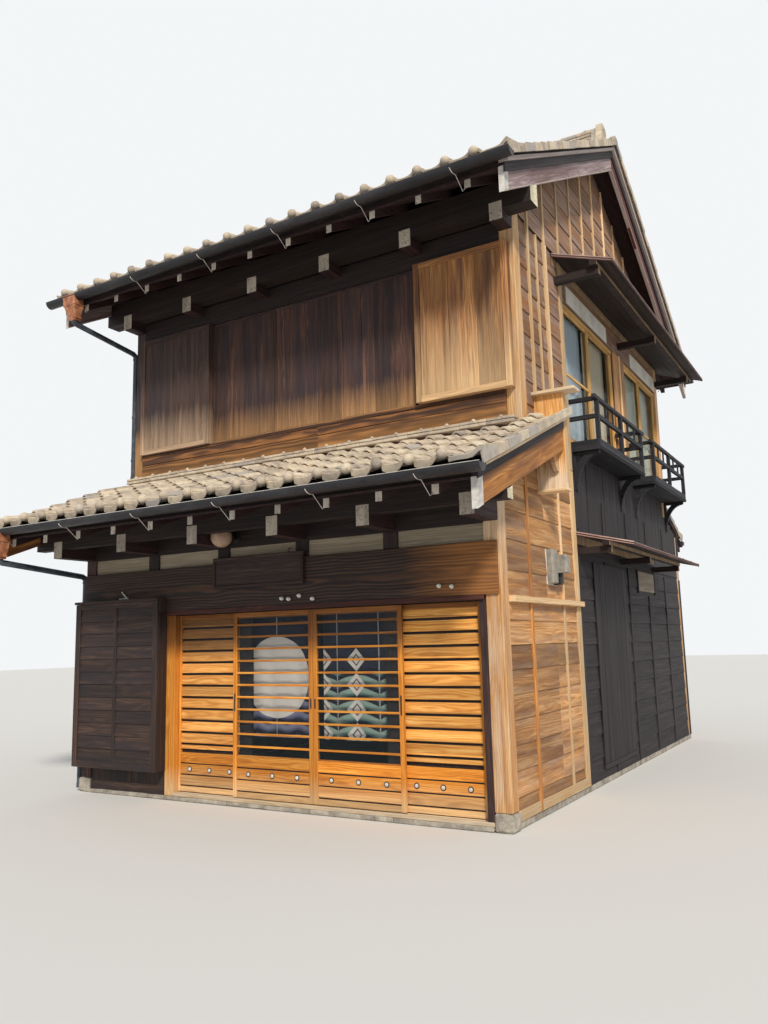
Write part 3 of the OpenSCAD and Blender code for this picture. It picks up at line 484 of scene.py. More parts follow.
def wood(name, dark, mid, pale, axis=None, rough=0.75, rings=26.0, streak=0.6, patina=None, bleach=0.0,
         painted=None, fades=(), fade_axis=2, worn=0.35, tones=(0.66, 1.22)):
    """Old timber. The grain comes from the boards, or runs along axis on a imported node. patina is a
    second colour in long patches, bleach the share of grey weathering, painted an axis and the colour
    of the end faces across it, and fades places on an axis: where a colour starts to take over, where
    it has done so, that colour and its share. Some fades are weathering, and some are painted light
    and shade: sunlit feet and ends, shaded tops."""
    f = Finish(name, rough)
    if axis is None:
        grain = f.attribute("grain")["Vector"]
        tone = f.attribute("tone")["Fac"]
        cut = f.attribute("cut")["Fac"]
    else:
        parts = f.node("SeparateXYZ", {0: f.place()}).outputs
        order = {"x": (0, 1, 2), "y": (1, 0, 2), "z": (2, 0, 1)}[axis]
        grain = f.node("CombineXYZ", {i: parts[k] for i, k in enumerate(order)}).outputs[0]
        tone = f.noise(f.stretch(grain, 0.15, 2.2, 2.2), 1.0, 1.0)
        cut = 0.0
    fine = f.noise(f.stretch(grain, 6, 240, 240), 1.0, 3.0, 0.6)
    broad = f.noise(f.stretch(grain, 1.1, 26, 26), 1.0, 5.0, 0.65, 0.5)
    drift = f.node("TexNoise", {"Vector": f.stretch(grain, 1.3, 5, 5), "Scale": 1.0, "Detail": 2.0})
    bent = f.node("VectorMath", {0: f.stretch(drift.outputs["Color"], 0.0, 0.07, 0.07),
                                 1: f.stretch(grain, 0.05, 1, 1)}, operation="ADD").outputs[0]
    waves = f.node("TexWave", {"Vector": bent, "Scale": rings, "Distortion": 1.0, "Detail": 2.0,
                               "Detail Scale": 1.5}, wave_type="RINGS", rings_direction="X")
    ring = waves.outputs["Fac"]
    grainy = f.times_add(broad, streak, f.times(fine, 0.28))
    grainy = f.times_add(ring, 0.72 - streak, grainy)
    base = f.ramp(grainy, (0.27, dark), (0.5, mid), (0.72, pale))
    if patina is not None:
        patch = f.noise(f.stretch(grain, 0.7, 8, 8), 1.0, 4.0, 0.6)
        base = f.mix(f.span(patch, 0.44, 0.62), base, f.mix(f.span(fine, 0.3, 0.7), patina, dark))
    if bleach:
        weather = f.noise(f.stretch(grain, 1.4, 11, 11), 1.0, 5.0, 0.7)
        base = f.mix(f.span(weather, 0.42, 0.68, 0.0, bleach), base, (198, 184, 164))
    # Fades carry weathering, such as bleached feet, and painted light and shade, such as sunlit feet and
    # shaded tops
    for start, end, tint, most in fades:
        at = f.times_add(broad, 0.9 * (end - start), f.part(f.place(), fade_axis))
        shift = 0.45 * (end - start)
        share = f.span(at, start + shift, end + shift, 0.0, most)
        weather_and_painted_light_tint = f.mix(f.span(fine, 0.25, 0.75, 0.0, 0.35), tint, mid)
        base = f.mix(share, base, f.shade(weather_and_painted_light_tint, f.span(grainy, 0.34, 0.62, 0.70, 1.12)))
    base = f.shade(base, f.span(tone, 0.0, 1.0, *tones))
    base = f.mix(f.span(cut, 0.0, 1.0, 0.0, worn), base, pale)
    if painted is not None:
        facing = f.part(f.node("TexCoord").outputs["Normal"], "xyz".index(painted[0]))
        flat = f.math("GREATER_THAN", f.size(facing), 0.9)
        chips = f.span(f.noise(f.place(), 38, 4, 0.7), 0.36, 0.46, 0.4, 1.0)
        stains = f.span(f.noise(f.stretch(f.place(), 9, 9, 2.5), 1.0, 4), 0.35, 0.6, 0.62, 1.0)
        base = f.mix(f.times(flat, chips), base, f.shade(painted[1], stains))
    height = f.times_add(ring, 0.25, f.times_add(broad, 0.7, f.times(fine, 0.5)))
    f.done(base, f.bump(height, 0.6, 0.003), f.span(broad, 0.2, 0.8, rough + 0.1, rough - 0.14))


def dress(node, finish):
    """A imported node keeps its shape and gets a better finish."""
    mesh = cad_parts[node].data
    mesh.materials.clear()
    mesh.materials.append(Finish.all[finish])


def plain_surface(name, shades, scale, rough=0.8, bump=0.3, stretch=(1, 1, 1), speckle=None, dust=None):
    """A surface of mottled shades, from dark to pale. speckle is a scale and colour of small grains,
    and dust a colour that gathers on what faces up."""
    f = Finish(name, rough)
    at = f.stretch(f.place(), *stretch)
    clouds = f.noise(at, scale, 6, 0.62)
    small = f.noise(at, scale * 9, 4, 0.6)
    mixed = f.times_add(clouds, 0.75, f.times(small, 0.25))
    steps = np.linspace(0.34, 0.66, len(shades))
    base = f.ramp(mixed, *[(float(p), shade) for p, shade in zip(steps, shades)])
    if speckle is not None:
        dots = f.cells(f.place(), speckle[0])["Distance"]
        base = f.mix(f.span(dots, 0.18, 0.3, 0.8, 0.0), base, speckle[1])
    if dust is not None:
        up = f.part(f.node("NewGeometry").outputs["Normal"], 2)
        base = f.mix(f.times(f.span(up, 0.3, 1.0, 0.0, 0.7), clouds), base, dust)
    f.done(base, f.bump(f.times_add(small, 0.5, clouds), bump, 0.004),
           f.span(mixed, 0.3, 0.7, rough + 0.08, max(rough - 0.12, 0.05)))


WHITE_PAINT = (202, 190, 174)
# Beams near-black, and the wine-brown boards and rafters over them darkened too: painted shade of the
# eaves, carried by every finish made from these colours
BEAM_PAINTED_SHADE = ((20, 15, 16), (35, 26, 25), (64, 47, 40))
SOFFIT_PAINTED_SHADE = ((26, 15, 17), (46, 27, 28), (78, 48, 45))
wood("beam_x", *BEAM_PAINTED_SHADE, axis="x")
wood("beam_y", *SOFFIT_PAINTED_SHADE, axis="y")
wood("beam_boards", *BEAM_PAINTED_SHADE, worn=0.5)
wood("rafter_wood", *SOFFIT_PAINTED_SHADE, axis="y", painted=("y", WHITE_PAINT))
wood("side_frame_wood", *BEAM_PAINTED_SHADE, axis="x", painted=("x", (176, 146, 114)))
wood("purlin_wood", *BEAM_PAINTED_SHADE, axis="x", painted=("x", (226, 214, 184)))
wood("post_wood", (116, 78, 44), (178, 126, 74), (228, 192, 142), bleach=0.5,
     fades=[(2.0, 2.7, (218, 200, 174), 0.75)])
wood("upper_post_wood", (136, 98, 60), (194, 148, 96), (232, 202, 158), bleach=0.5)
# Upper left corner post: dark as painted shade, with painted sunlight at its foot
wood("shaded_post_wood", (42, 34, 38), (64, 51, 52), (100, 80, 76),
     fades=[(4.20, 3.95, (208, 156, 96), 0.9)])
wood("jamb_wood", (34, 23, 25), (56, 37, 36), (92, 62, 52))
wood("sill_wood", (144, 122, 96), (194, 170, 136), (226, 208, 180), bleach=0.6)
# Near-black as painted shade, with painted sunlight fading in at the right end
wood("lintel_wood", (24, 17, 16), (43, 30, 25), (80, 53, 37), rings=13.0, streak=0.42,
     fades=[(1.55, 2.15, (190, 124, 62), 0.6)], fade_axis=0)
wood("panel_wood", (112, 100, 84), (152, 138, 116), (186, 173, 150), axis="x", bleach=0.25)
# The second fade is painted shade on the tops of the doors and left door post; the pale foot is weathering
wood("door_wood", (150, 80, 22), (212, 132, 42), (246, 182, 84), rings=30.0,
     fades=[(0.34, 0.12, (228, 196, 148), 0.85), (1.40, 1.58, (84, 46, 26), 0.88)])
wood("louvre_wood", (150, 88, 34), (220, 150, 68), (246, 198, 118), rings=30.0,
     fades=[(0.34, 0.12, (228, 200, 156), 0.85)])
# The second fade is painted shade on the upper boards; the pale foot is weathering
wood("old_louvre_wood", (144, 86, 36), (208, 142, 68), (240, 192, 116), rings=30.0,
     fades=[(0.34, 0.12, (228, 200, 156), 0.85), (1.36, 1.52, (112, 78, 52), 0.85)])
# Near-black painted shade: the shadow under each louvre lip, and a louvre door's stile behind glass
wood("sheltered_wood", (16, 12, 13), (29, 21, 21), (48, 35, 32))
wood("track_wood", (44, 20, 18), (70, 32, 26), (108, 58, 40))
# Rain shutters: dark as painted shade of the eaves, with painted sunlight on their feet
wood("shutter_wood", (38, 26, 26), (72, 49, 42), (120, 84, 66), patina=(58, 46, 52),
     fades=[(4.22, 3.86, (194, 146, 94), 0.75)])
# Shutter boxes: pale lower parts are painted sunlight; the left box is darker as painted shade
wood("left_box_wood", (42, 31, 30), (76, 56, 49), (124, 94, 78), patina=(70, 58, 62),
     fades=[(4.35, 3.92, (206, 174, 142), 0.85)])
wood("right_box_wood", (92, 58, 36), (158, 106, 62), (214, 162, 102), patina=(112, 80, 64),
     fades=[(4.75, 3.95, (224, 190, 144), 0.8)])
# Dark as painted shade under the shutters, with painted sunlight along its foot
wood("skirt_wood", (48, 31, 24), (86, 55, 36), (156, 104, 58), rings=12.0, streak=0.45,
     fades=[(3.76, 3.60, (204, 146, 78), 0.45)])
wood("low_box_wood", (32, 23, 22), (56, 40, 34), (90, 67, 54), patina=(46, 40, 44))
wood("side_wood", (118, 74, 40), (188, 134, 78), (230, 186, 130), bleach=0.25, patina=(158, 110, 66),
     tones=(0.6, 1.22))
wood("panel_boards", (112, 98, 84), (150, 134, 116), (184, 168, 148))
# Near-black painted shade of the boards under the side roofs and balconies
wood("side_dark", (16, 13, 16), (30, 24, 27), (54, 44, 44))
wood("gable_wood", (92, 68, 56), (148, 120, 104), (190, 162, 142), patina=(176, 120, 66))
wood("batten_wood", (184, 138, 92), (224, 186, 136), (242, 216, 174), bleach=0.3)
wood("party_wood", (58, 43, 34), (94, 70, 54), (138, 108, 84), patina=(92, 84, 80), bleach=0.25)
wood("inner_wall", (74, 58, 44), (104, 84, 64), (138, 114, 88), axis="x")
wood("floor_wood", (84, 58, 38), (122, 88, 58), (158, 118, 82), axis="x")
wood("barge_wood", (112, 68, 34), (184, 122, 60), (224, 166, 100), patina=(134, 92, 62))
wood("verge_box_wood", (150, 98, 50), (206, 150, 84), (238, 204, 150),
     fades=[(3.22, 3.02, (230, 212, 188), 0.85)])
wood("high_barge_wood", (88, 72, 72), (132, 114, 114), (184, 168, 168), patina=(110, 86, 82))
wood("rear_barge_wood", (52, 28, 28), (84, 44, 40), (124, 70, 56))
# Near-black strips along the verges: painted shadow under the edges of the tiles
wood("verge_black", (22, 18, 20), (36, 29, 32), (62, 50, 50), worn=0.5)
wood("verge_pale", (146, 130, 124), (184, 168, 162), (212, 200, 192))
wood("verge_cream", (168, 140, 108), (206, 182, 146), (228, 208, 176))
# Thin pale strips on the edges of the side roofs: painted highlights of their lit rims
wood("pink_edge", (120, 88, 80), (172, 142, 134), (216, 196, 188))
wood("frame_wood", (150, 104, 54), (208, 160, 94), (238, 200, 138))
wood("black_wood", (14, 14, 19), (28, 28, 34), (56, 56, 62), worn=0.5)
wood("sign_wood", (26, 18, 17), (46, 33, 30), (76, 56, 50), worn=0.6)
wood("canopy_wood", (44, 28, 26), (72, 46, 40), (112, 76, 64))
plain_surface("foundation_stone", ((112, 106, 98), (158, 150, 138), (196, 188, 172)), 7.0, 0.9, 0.8,
              speckle=(260.0, (92, 88, 84)))
plain_surface("pale_plaster", ((190, 186, 176), (214, 210, 200), (228, 225, 216)), 3.0, 0.9, 0.2)
plain_surface("gutter_metal", ((22, 21, 25), (36, 35, 40), (58, 56, 60)), 4.0, 0.5, 0.15,
              stretch=(0.6, 2, 2))
plain_surface("pale_metal", ((168, 162, 156), (202, 196, 188), (224, 219, 210)), 18.0, 0.5, 0.15)
plain_surface("pipe_metal", ((40, 46, 54), (56, 64, 74), (84, 92, 102)), 9.0, 0.45, 0.15)
plain_surface("hopper_copper", ((112, 70, 50), (158, 101, 70), (198, 145, 110)), 14.0, 0.55, 0.3)
plain_surface("sheet_metal", ((44, 38, 38), (72, 62, 58), (104, 92, 84)), 5.0, 0.55, 0.2,
              dust=(130, 122, 112))
plain_surface("porcelain", ((196, 192, 184), (222, 218, 210), (234, 231, 224)), 40.0, 0.25, 0.05)
plain_surface("dull_metal", ((58, 56, 58), (84, 80, 82), (112, 106, 106)), 18.0, 0.5, 0.15)
plain_surface("iron", ((24, 22, 22), (38, 34, 33), (62, 54, 50)), 60.0, 0.5, 0.2)
plain_surface("meter_plastic", ((120, 116, 108), (148, 143, 133), (172, 167, 156)), 12.0, 0.5, 0.1)


def tile_clay():
    """Fired clay tiles paled by weather, a few of them blue-grey, with lichen and soot in places."""
    f = Finish("tile_clay", 0.7)
    tone = f.attribute("tone")["Fac"]
    grain = f.attribute("grain")["Vector"]
    clouds = f.noise(grain, 9.0, 5, 0.6)
    base = f.ramp(f.times_add(clouds, 0.72, f.times(tone, 0.28)), (0.25, (140, 129, 120)),
                  (0.42, (184, 169, 150)), (0.6, (208, 192, 168)), (0.8, (222, 209, 187)))
    base = f.mix(f.span(tone, 0.90, 0.93, 0.0, 0.6), base, (132, 134, 140))
    lichen = f.noise(f.place(), 14.0, 6, 0.7)
    base = f.mix(f.span(lichen, 0.53, 0.64, 0.0, 0.5), base, (132, 122, 106))
    soot = f.noise(f.stretch(f.place(), 2.2, 2.2, 2.2), 1.0, 4, 0.6)
    base = f.mix(f.span(soot, 0.56, 0.74, 0.0, 0.4), base, (108, 106, 108))
    small = f.noise(grain, 120.0, 3, 0.6)
    base = f.shade(base, f.span(small, 0.3, 0.7, 0.9, 1.06))
    f.done(base, f.bump(f.times_add(small, 0.4, clouds), 0.35, 0.003), f.span(clouds, 0.3, 0.7, 0.62, 0.8))


def glass_finish():
    """Old window glass: clear, a little wavy and dusty."""
    f = Finish("window_glass", 0.05)
    f.set("IOR", 1.45)
    f.set("Alpha", 0.14)
    wavy = f.noise(f.place(), 2.2, 2, 0.5)
    bump = f.bump(wavy, 0.25, 0.01)
    dust = f.noise(f.place(), 6.0, 4, 0.6)
    f.done(f.mix(dust, (38, 48, 56), (66, 76, 80)), bump, f.span(dust, 0.4, 0.7, 0.03, 0.1))


tile_clay()
glass_finish()


# Camera, light and floor

def add_camera():
    """The photograph's view: yaw to the left of the house's depth, pitch up, roll, and the eye's place."""
    yaw, pitch, roll = (radians(angle) for angle in (30.66, 8.90, -1.39))
    eye = np.array((2.719, -6.468, 1.521)) + ORIGIN
    forward = Vector((-sin(yaw) * cos(pitch), cos(yaw) * cos(pitch), sin(pitch)))
    level_right = Vector((cos(yaw), sin(yaw), 0))
    right = level_right * cos(roll) + level_right.cross(forward) * sin(roll)
    up = right.cross(forward)
    camera = bpy.data.cameras.new("camera")
    camera.sensor_fit = "VERTICAL"
    camera.sensor_height = 36.0
    camera.lens = 29.44
    camera.clip_end = 200.0
    obj = shown("camera", camera)
    turn = Matrix((right, up, -forward)).transposed()
    obj.matrix_world = Matrix.Translation(Vector(eye)) @ turn.to_4x4()
    bpy.context.scene.camera = obj


def add_lights():
    """A wide, warm key from the front right, and a pale sky."""
    sun = bpy.data.lights.new("key", "SUN")
    sun.energy = 3.1
    sun.angle = radians(9)
    sun.color = (1.0, 0.94, 0.85)
    towards = Vector((0.50, -0.62, 0.60)).normalized()
    shown("key", sun).rotation_euler = towards.to_track_quat("Z", "Y").to_euler()
    world = bpy.data.worlds.new("studio")
    bpy.context.scene.world = world
    world.use_nodes = True
    tree = world.node_tree
    lit = tree.nodes["Background"]
    lit.inputs["Color"].default_value = (0.84, 0.91, 1.0, 1.0)
    lit.inputs["Strength"].default_value = 0.5
    seen = tree.nodes.new("ShaderNodeBackground")
    seen.inputs["Color"].default_value = (0.90, 0.92, 0.935, 1.0)
    rays = tree.nodes.new("ShaderNodeLightPath")
    any_seen = rays.outputs["Is Camera Ray"]
    for kind in ("Is Glossy Ray", "Is Transmission Ray"):
        most = tree.nodes.new("ShaderNodeMath")
        most.operation = "MAXIMUM"
        tree.links.new(any_seen, most.inputs[0])
        tree.links.new(rays.outputs[kind], most.inputs[1])
        any_seen = most.outputs[0]
    blend = tree.nodes.new("ShaderNodeMixShader")
    tree.links.new(any_seen, blend.inputs[0])
    tree.links.new(lit.outputs[0], blend.inputs[1])
    tree.links.new(seen.outputs[0], blend.inputs[2])
    tree.links.new(blend.outputs[0], tree.nodes["World Output"].inputs["Surface"])


def add_floor():
    """A plain pale floor that is no part of the house."""
    f = Finish("studio_floor", 0.85, specular=0.2)
    f.done((222, 220, 216))
    half = 60.0
    mesh = bpy.data.meshes.new("floor")
    corners = [(-half, -half, 0), (half, -half, 0), (half, half, 0), (-half, half, 0)]
    mesh.from_pydata(corners, [], [(0, 1, 2, 3)])
    mesh.materials.append(f.material)
    floor = shown("floor", mesh)
    floor.location.z = -0.002


# Roof tiles

TILE_W = 0.280
FIRST_ROLL = 0.040
LAST_ROLL = 19
TILE_LAP = 0.045
TILE_THICK = 0.020
TILE_LIFT = 0.034
COURSE = 0.238
VERGE_LIFT = 0.012
EAVE_OUT = 0.058
EAVE_KICK = 0.054


def tile_top(x):
    """Height of a tile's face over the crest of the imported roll, for x from the middle of its roll."""
    roll = 0.046 * np.exp(-(x / 0.048) ** 2)
    pan = -0.012 * np.sin(np.pi * np.clip((x + 0.245) / 0.19, 0, 1))
    return roll + pan - 0.044


def tile_hang(x):
    """How far the foot of a tile at the eave hangs down: a scoop below the pan."""
    scoop = np.sin(np.pi * np.clip((x + 0.275) / 0.20, 0, 1)) ** 0.7
    return 0.038 + 0.034 * scoop


def tile_shape(length, x, top, lift, kick=0.0, hang=None):
    """A tile as points and faces: x across, y up the slope, z off it. top gives the height of its face
    at each x, lift is how much higher its foot lies than its head, kick lifts the foot more, and hang
    is how far the foot hangs down at each x."""
    rings = []
    for i, at in enumerate(x):
        rows = [(length, 0.0), (0.007, 0.0), (0.0, -0.006)]
        if hang is None:
            rows += [(0.0, 0.004 - TILE_THICK), (0.007, -TILE_THICK)]
        else:
            rows += [(-0.003, -hang[i]), (0.005, -hang[i] - 0.004), (0.014, -hang[i]), (0.020, -TILE_THICK)]
        rows.append((length, -TILE_THICK))
        ring = []
        for y, drop in rows:
            up = 1 - max(y, 0) / length
            ring.append((at, y, top[i] + drop + lift * (up - 0.5) + kick * up))
        rings.append(ring)
    return loft(rings)


def tile_pair(x, top, apron=None, lift=TILE_LIFT):
    """A tile, and the same tile at the eave, where it reaches out over the gutter. apron gives the two
    sides, the top and the foot of an edge turned down along a verge."""
    pair = []
    for out, kick, hang in ((0.0, 0.0, None), (EAVE_OUT, EAVE_KICK, tile_hang(x))):
        length = COURSE + TILE_LAP + out
        points, faces = tile_shape(length, x, top, lift, kick, hang)
        if apron is not None:
            a, b, high, low = apron
            middle = (a + b) / 2
            rings = []
            for y, rise, sink, inset in ((length, -lift / 2, 0.0, 0.003), (0.0, lift / 2 + kick, 0.0, 0.0)):
                face = b - inset if b > a else b + inset
                rings.append([(a, y, sink + low + 0.004), (middle, y, sink + low),
                              (face, y, sink + low + 0.004), (face, y, rise + high - 0.005),
                              (middle, y, rise + high), (a, y, rise + high - 0.003)])
            edge, edge_faces = loft(rings)
            faces = faces + [tuple(i + len(points) for i in face) for face in edge_faces]
            points = np.concatenate([points, edge])
        pair.append((points, faces))
    return pair


def mirrored(shape):
    """A shape seen in a mirror across its middle."""
    points, faces = shape
    return points * (-1, 1, 1), [face[::-1] for face in faces]


def boss_shape():
    """The round boss on the roll of a tile at the eave, in the tile's own frame."""
    pile = Pile()
    centre = (0.0, -0.004, TILE_LIFT / 2 + EAVE_KICK - 0.040)
    lathe(pile, centre, (0, -1, -0.25), [(-0.03, 0.038), (-0.004, 0.045), (0.010, 0.044), (0.022, 0.037),
                                         (0.031, 0.026), (0.036, 0.013), (0.038, 0.002)], 16)
    return pile.points[0], pile.faces


def tile_place(x, foot_y, foot_z, slope, facing, along):
    """Where a tile goes that lies some way up a slope. facing is -1 on a front slope, 1 on a rear one."""
    run = 1 / hypot(1, slope)
    up = np.array((0.0, -facing * run, slope * run))
    off = np.array((0.0, facing * slope * run, run))
    across = np.array((-facing * 1.0, 0.0, 0.0))
    spin = dice.gauss(0, 0.006)
    at = np.array((x, foot_y, foot_z)) + up * (along + dice.gauss(0, 0.002)) + off * dice.gauss(0, 0.0012)
    at = at + across * dice.gauss(0, 0.0015)
    return np.column_stack([across + up * spin, up - across * spin, off, at])


PAN_X = np.linspace(-0.245, -0.105, 5)
ROLL_X = np.linspace(-0.085, 0.055, 10)
VERGE_X = np.array((0.040, 0.070, 0.120, 0.190, 0.235, 0.265, 0.287, 0.303, 0.313))
VERGE_TOP = np.array((-0.056, -0.051, -0.049, -0.049, -0.043, -0.024, -0.008, -0.003, -0.009))


def tile_slope(pile, x1, under, slope, foot_y, facing, length, tail=0.0):
    """A slope of pantiles between the left verge and x1, with bosses along the eave. tail is how far
    the tiles at the right verge run on, past the wall that stops the others."""
    courses = round(length / COURSE)
    step = length / courses
    foot_z = under(foot_y) + ROOF_STACK + TILE_T
    high = [i * step for i in range(1, courses)]
    bosses = boss_shape()

    def column(x, pair, alongs, eave=True):
        plain, first = pair if facing < 0 else [mirrored(shape) for shape in pair]
        if eave:
            pile.copies(first, [tile_place(x, foot_y, foot_z, slope, facing, -EAVE_OUT)])
        pile.copies(plain, [tile_place(x, foot_y, foot_z, slope, facing, along) for along in alongs])

    whole = np.concatenate([PAN_X, ROLL_X])
    body = tile_pair(whole, tile_top(whole))
    for k in range(LAST_ROLL + 1):
        x = FIRST_ROLL - k * TILE_W
        if x > x1:
            edge = x1 - x
            cut = np.append(PAN_X[PAN_X < edge - 0.02], edge - 0.003)
            column(x, tile_pair(cut, tile_top(cut), (edge - 0.014, edge, -0.038, -0.090)), high)
            continue
        if k == LAST_ROLL:
            left = np.linspace(-0.150, 0.055, 13)
            column(x, tile_pair(left, tile_top(left), (-0.150, -0.136, -0.036, -0.090)), high)
        else:
            column(x, body, high)
        column(x, (bosses, bosses), [])
    if x1 > FIRST_ROLL:
        more = [(courses + i) * step for i in range(round(tail / step))]
        edge = VERGE_X[-1]
        verge = tile_pair(VERGE_X, VERGE_TOP, (edge - 0.012, edge + 0.002, -0.002, -0.080), VERGE_LIFT)
        column(FIRST_ROLL, verge, high + more)
        beside = np.linspace(0.004 - FIRST_ROLL, 0.055, 8)
        column(FIRST_ROLL, tile_pair(beside, tile_top(beside)), more, eave=False)


def eave_filler(pile, x0, x1, under, foot_y, facing):
    """A dark board that closes the eave behind the feet of the tiles."""
    a, b = sorted((foot_y - facing * 0.045, foot_y - facing * 0.062))
    level_z = under(foot_y - facing * 0.045) + ROOF_STACK
    # The board's dark beam colour is painted shade behind the feet of the tiles
    bar(pile, x0, x1, a, b, level_z - 0.004, level_z + 0.086, "x", slot=1)


def flat_rows(pile, x0, x1, y0, y1, rows, joint):
    """Rows of flat tiles laid in courses. rows lists (z0, z1, y inset)."""
    for z0, z1, inset in rows:
        shift = dice.uniform(0, joint)
        x = x0 - shift
        while x < x1:
            a, b = max(x, x0), min(x + joint, x1)
            if b - a > 0.03:
                bar(pile, a + 0.001, b - 0.001, y0 + inset, y1 - inset, z0, z1, "x", chamfer=0.005,
                    wobble=0.0012)
            x += joint


def roof_tiles():
    """The slopes of the main roof and of the lower roofs."""
    low, high = street_box("main_tiles")
    left, right = low[0], high[0]
    length = (RIDGE_Y - low[1]) * hypot(1, MAIN_SLOPE) - TILE_LAP - 0.003
    for name, facing, y in (("front", -1, low[1]), ("rear", 1, high[1])):
        pile = Pile()
        tile_slope(pile, right, main_under, MAIN_SLOPE, y, facing, length)
        eave_filler(pile, left + 0.10, right - 0.10, main_under, y, facing)
        piece("main_tiles_" + name, pile, "tile_clay beam_boards", ["main_tiles"], smooth=40)
    low, high = street_box("pent_tiles")
    for name, facing, y, wall in (("front", -1, low[1], UPPER_Y - 0.13),
                                  ("rear", 1, high[1], UPPER_END + 0.13)):
        pile = Pile()
        slant = hypot(1, PENT_SLOPE)
        length = abs(wall - y) * slant
        if facing < 0:
            tile_slope(pile, right, pent_under, PENT_SLOPE, y, facing, length, (TAIL_Y - wall) * slant)
            eave_filler(pile, left + 0.10, right - 0.10, pent_under, y, facing)
        else:
            tile_slope(pile, 0.0, pent_under, PENT_SLOPE, y, facing, length)
            eave_filler(pile, left + 0.10, -0.02, pent_under, y, facing)
        flashing(pile, wall, facing)
        piece("pent_tiles_" + name, pile, "tile_clay beam_boards", ["pent_tiles"], smooth=40)


def flashing(pile, edge_y, facing):
    """Rows of flat tiles where a lower roof meets the wall, with a nub over each joint of the upper row."""
    base = pent_under(edge_y) + ROOF_STACK + TILE_T
    near, far = sorted((edge_y, edge_y - facing * 0.104))
    x0, x1 = HOUSE_L + 0.004, -0.004
    x = x0
    while x < x1 - 0.05:
        end = min(x + TILE_W, x1)
        bar(pile, x + 0.001, end - 0.001, near, far, base + 0.003, base + 0.034, "x", chamfer=0.005,
            wobble=0.0012)
        half = min(x + TILE_W * 0.55, x1)
        for a, b in ((x, half), (half, end)):
            if b - a > 0.02:
                bar(pile, a + 0.001, b - 0.001, near + 0.004, far, base + 0.040, base + 0.066, "x",
                    chamfer=0.004, wobble=0.0012)
        lathe(pile, (half - 0.01, (near + far) / 2 + facing * 0.028, base + 0.062), UP,
              [(0, 0.024), (0.010, 0.022), (0.022, 0.014), (0.029, 0.003)], 8)
        x = end


def roof_ridge():
    """Courses of flat tiles under a row of round caps, and a plain ornament at each end."""
    low, high = street_box("ridge")
    pile = Pile()
    end_w = 0.150
    x0, x1 = low[0] + end_w, high[0] - end_w
    foot = high[2] - 0.320
    half = (high[1] - low[1]) / 2
    levels = [(foot - 0.06, foot + 0.030, 0.0)]
    levels += [(foot + 0.034 + i * 0.046, foot + 0.070 + i * 0.046, 0.006 + i * 0.006) for i in range(3)]
    flat_rows(pile, x0, x1, RIDGE_Y - half, RIDGE_Y + half, levels, 0.33)
    top = levels[-1][1]
    x = x0
    while x < x1 - 0.05:
        end = min(x + 0.30, x1)
        rings = []
        for at, grow in ((x, 0.004), (x + 0.03, 0.004), (x + 0.031, 0.0), (end, -0.004)):
            radius = foot + 0.215 - top + grow
            arc = [(at, RIDGE_Y - 1.9 * radius * cos(a), top + radius * sin(a))
                   for a in np.linspace(0, pi, 11)]
            rings.append(arc)
        pile.loft(rings)
        x += 0.30
    half_outline = [(0.0, 0.246), (0.045, 0.243), (0.082, 0.226), (0.106, 0.194), (0.114, 0.152),
                    (0.106, 0.112), (0.124, 0.072), (0.150, 0.020), (0.160, -0.040), (0.146, -0.078),
                    (0.0, -0.03)]
    outline = half_outline + [(-s, z) for s, z in half_outline[-2:0:-1]]
    for side, x_out in ((-1, low[0] + 0.010), (1, high[0] - 0.010)):
        def place(s, t, depth):
            return x_out - side * depth, RIDGE_Y + s, foot + t
        sawn(pile, outline, place, 0.0, 0.075)
        sawn(pile, [(s * 0.85, t * 0.85) for s, t in outline], place, 0.075, end_w - 0.011)
        sawn(pile, [(s * 0.80, t * 0.80 + 0.02) for s, t in outline], place, -0.008, 0.010)
        lathe(pile, (x_out, RIDGE_Y, foot + 0.130), (side, 0, 0), [(0.0, 0.050), (0.008, 0.048),
                                                                   (0.008, 0.038), (0.004, 0.034),
                                                                   (0.008, 0.014), (0.009, 0.002)], 20)
    caps = [(high[0] - 0.004, 0.052), (high[0] + 0.078, 0.052), (high[0] + 0.080, 0.060),
            (high[0] + 0.140, 0.058)]
    pile.loft([[(at, RIDGE_Y + 1.6 * r * cos(a), foot - 0.036 + r * sin(a))
                for a in np.linspace(-0.35, pi + 0.35, 13)] for at, r in caps])
    piece("ridge_tiles", pile, "tile_clay", ["ridge"], smooth=35)


# Roof edges, gutters and pipes

# How far the rafters reach past the walls: of the main roof, the pent roof and the rear lower roof
MAIN_REACH = 0.85
PENT_REACH = 1.0
REAR_REACH = 0.45
GUTTER_R = 0.065
GUTTER_OUT = 0.100


def slope_board(pile, x, y0, y1, under, z0, z1, thick, side, **more):
    """A board along a roof slope. Its face looks out sideways, at x."""
    plank(pile, (x, y0, under(y0) + z0), (x, y1, under(y1) + z0), (x, y0, under(y0) + z1),
          (x, y1, under(y1) + z1), thick, RIGHT * side, wobble=0.0015, **more)


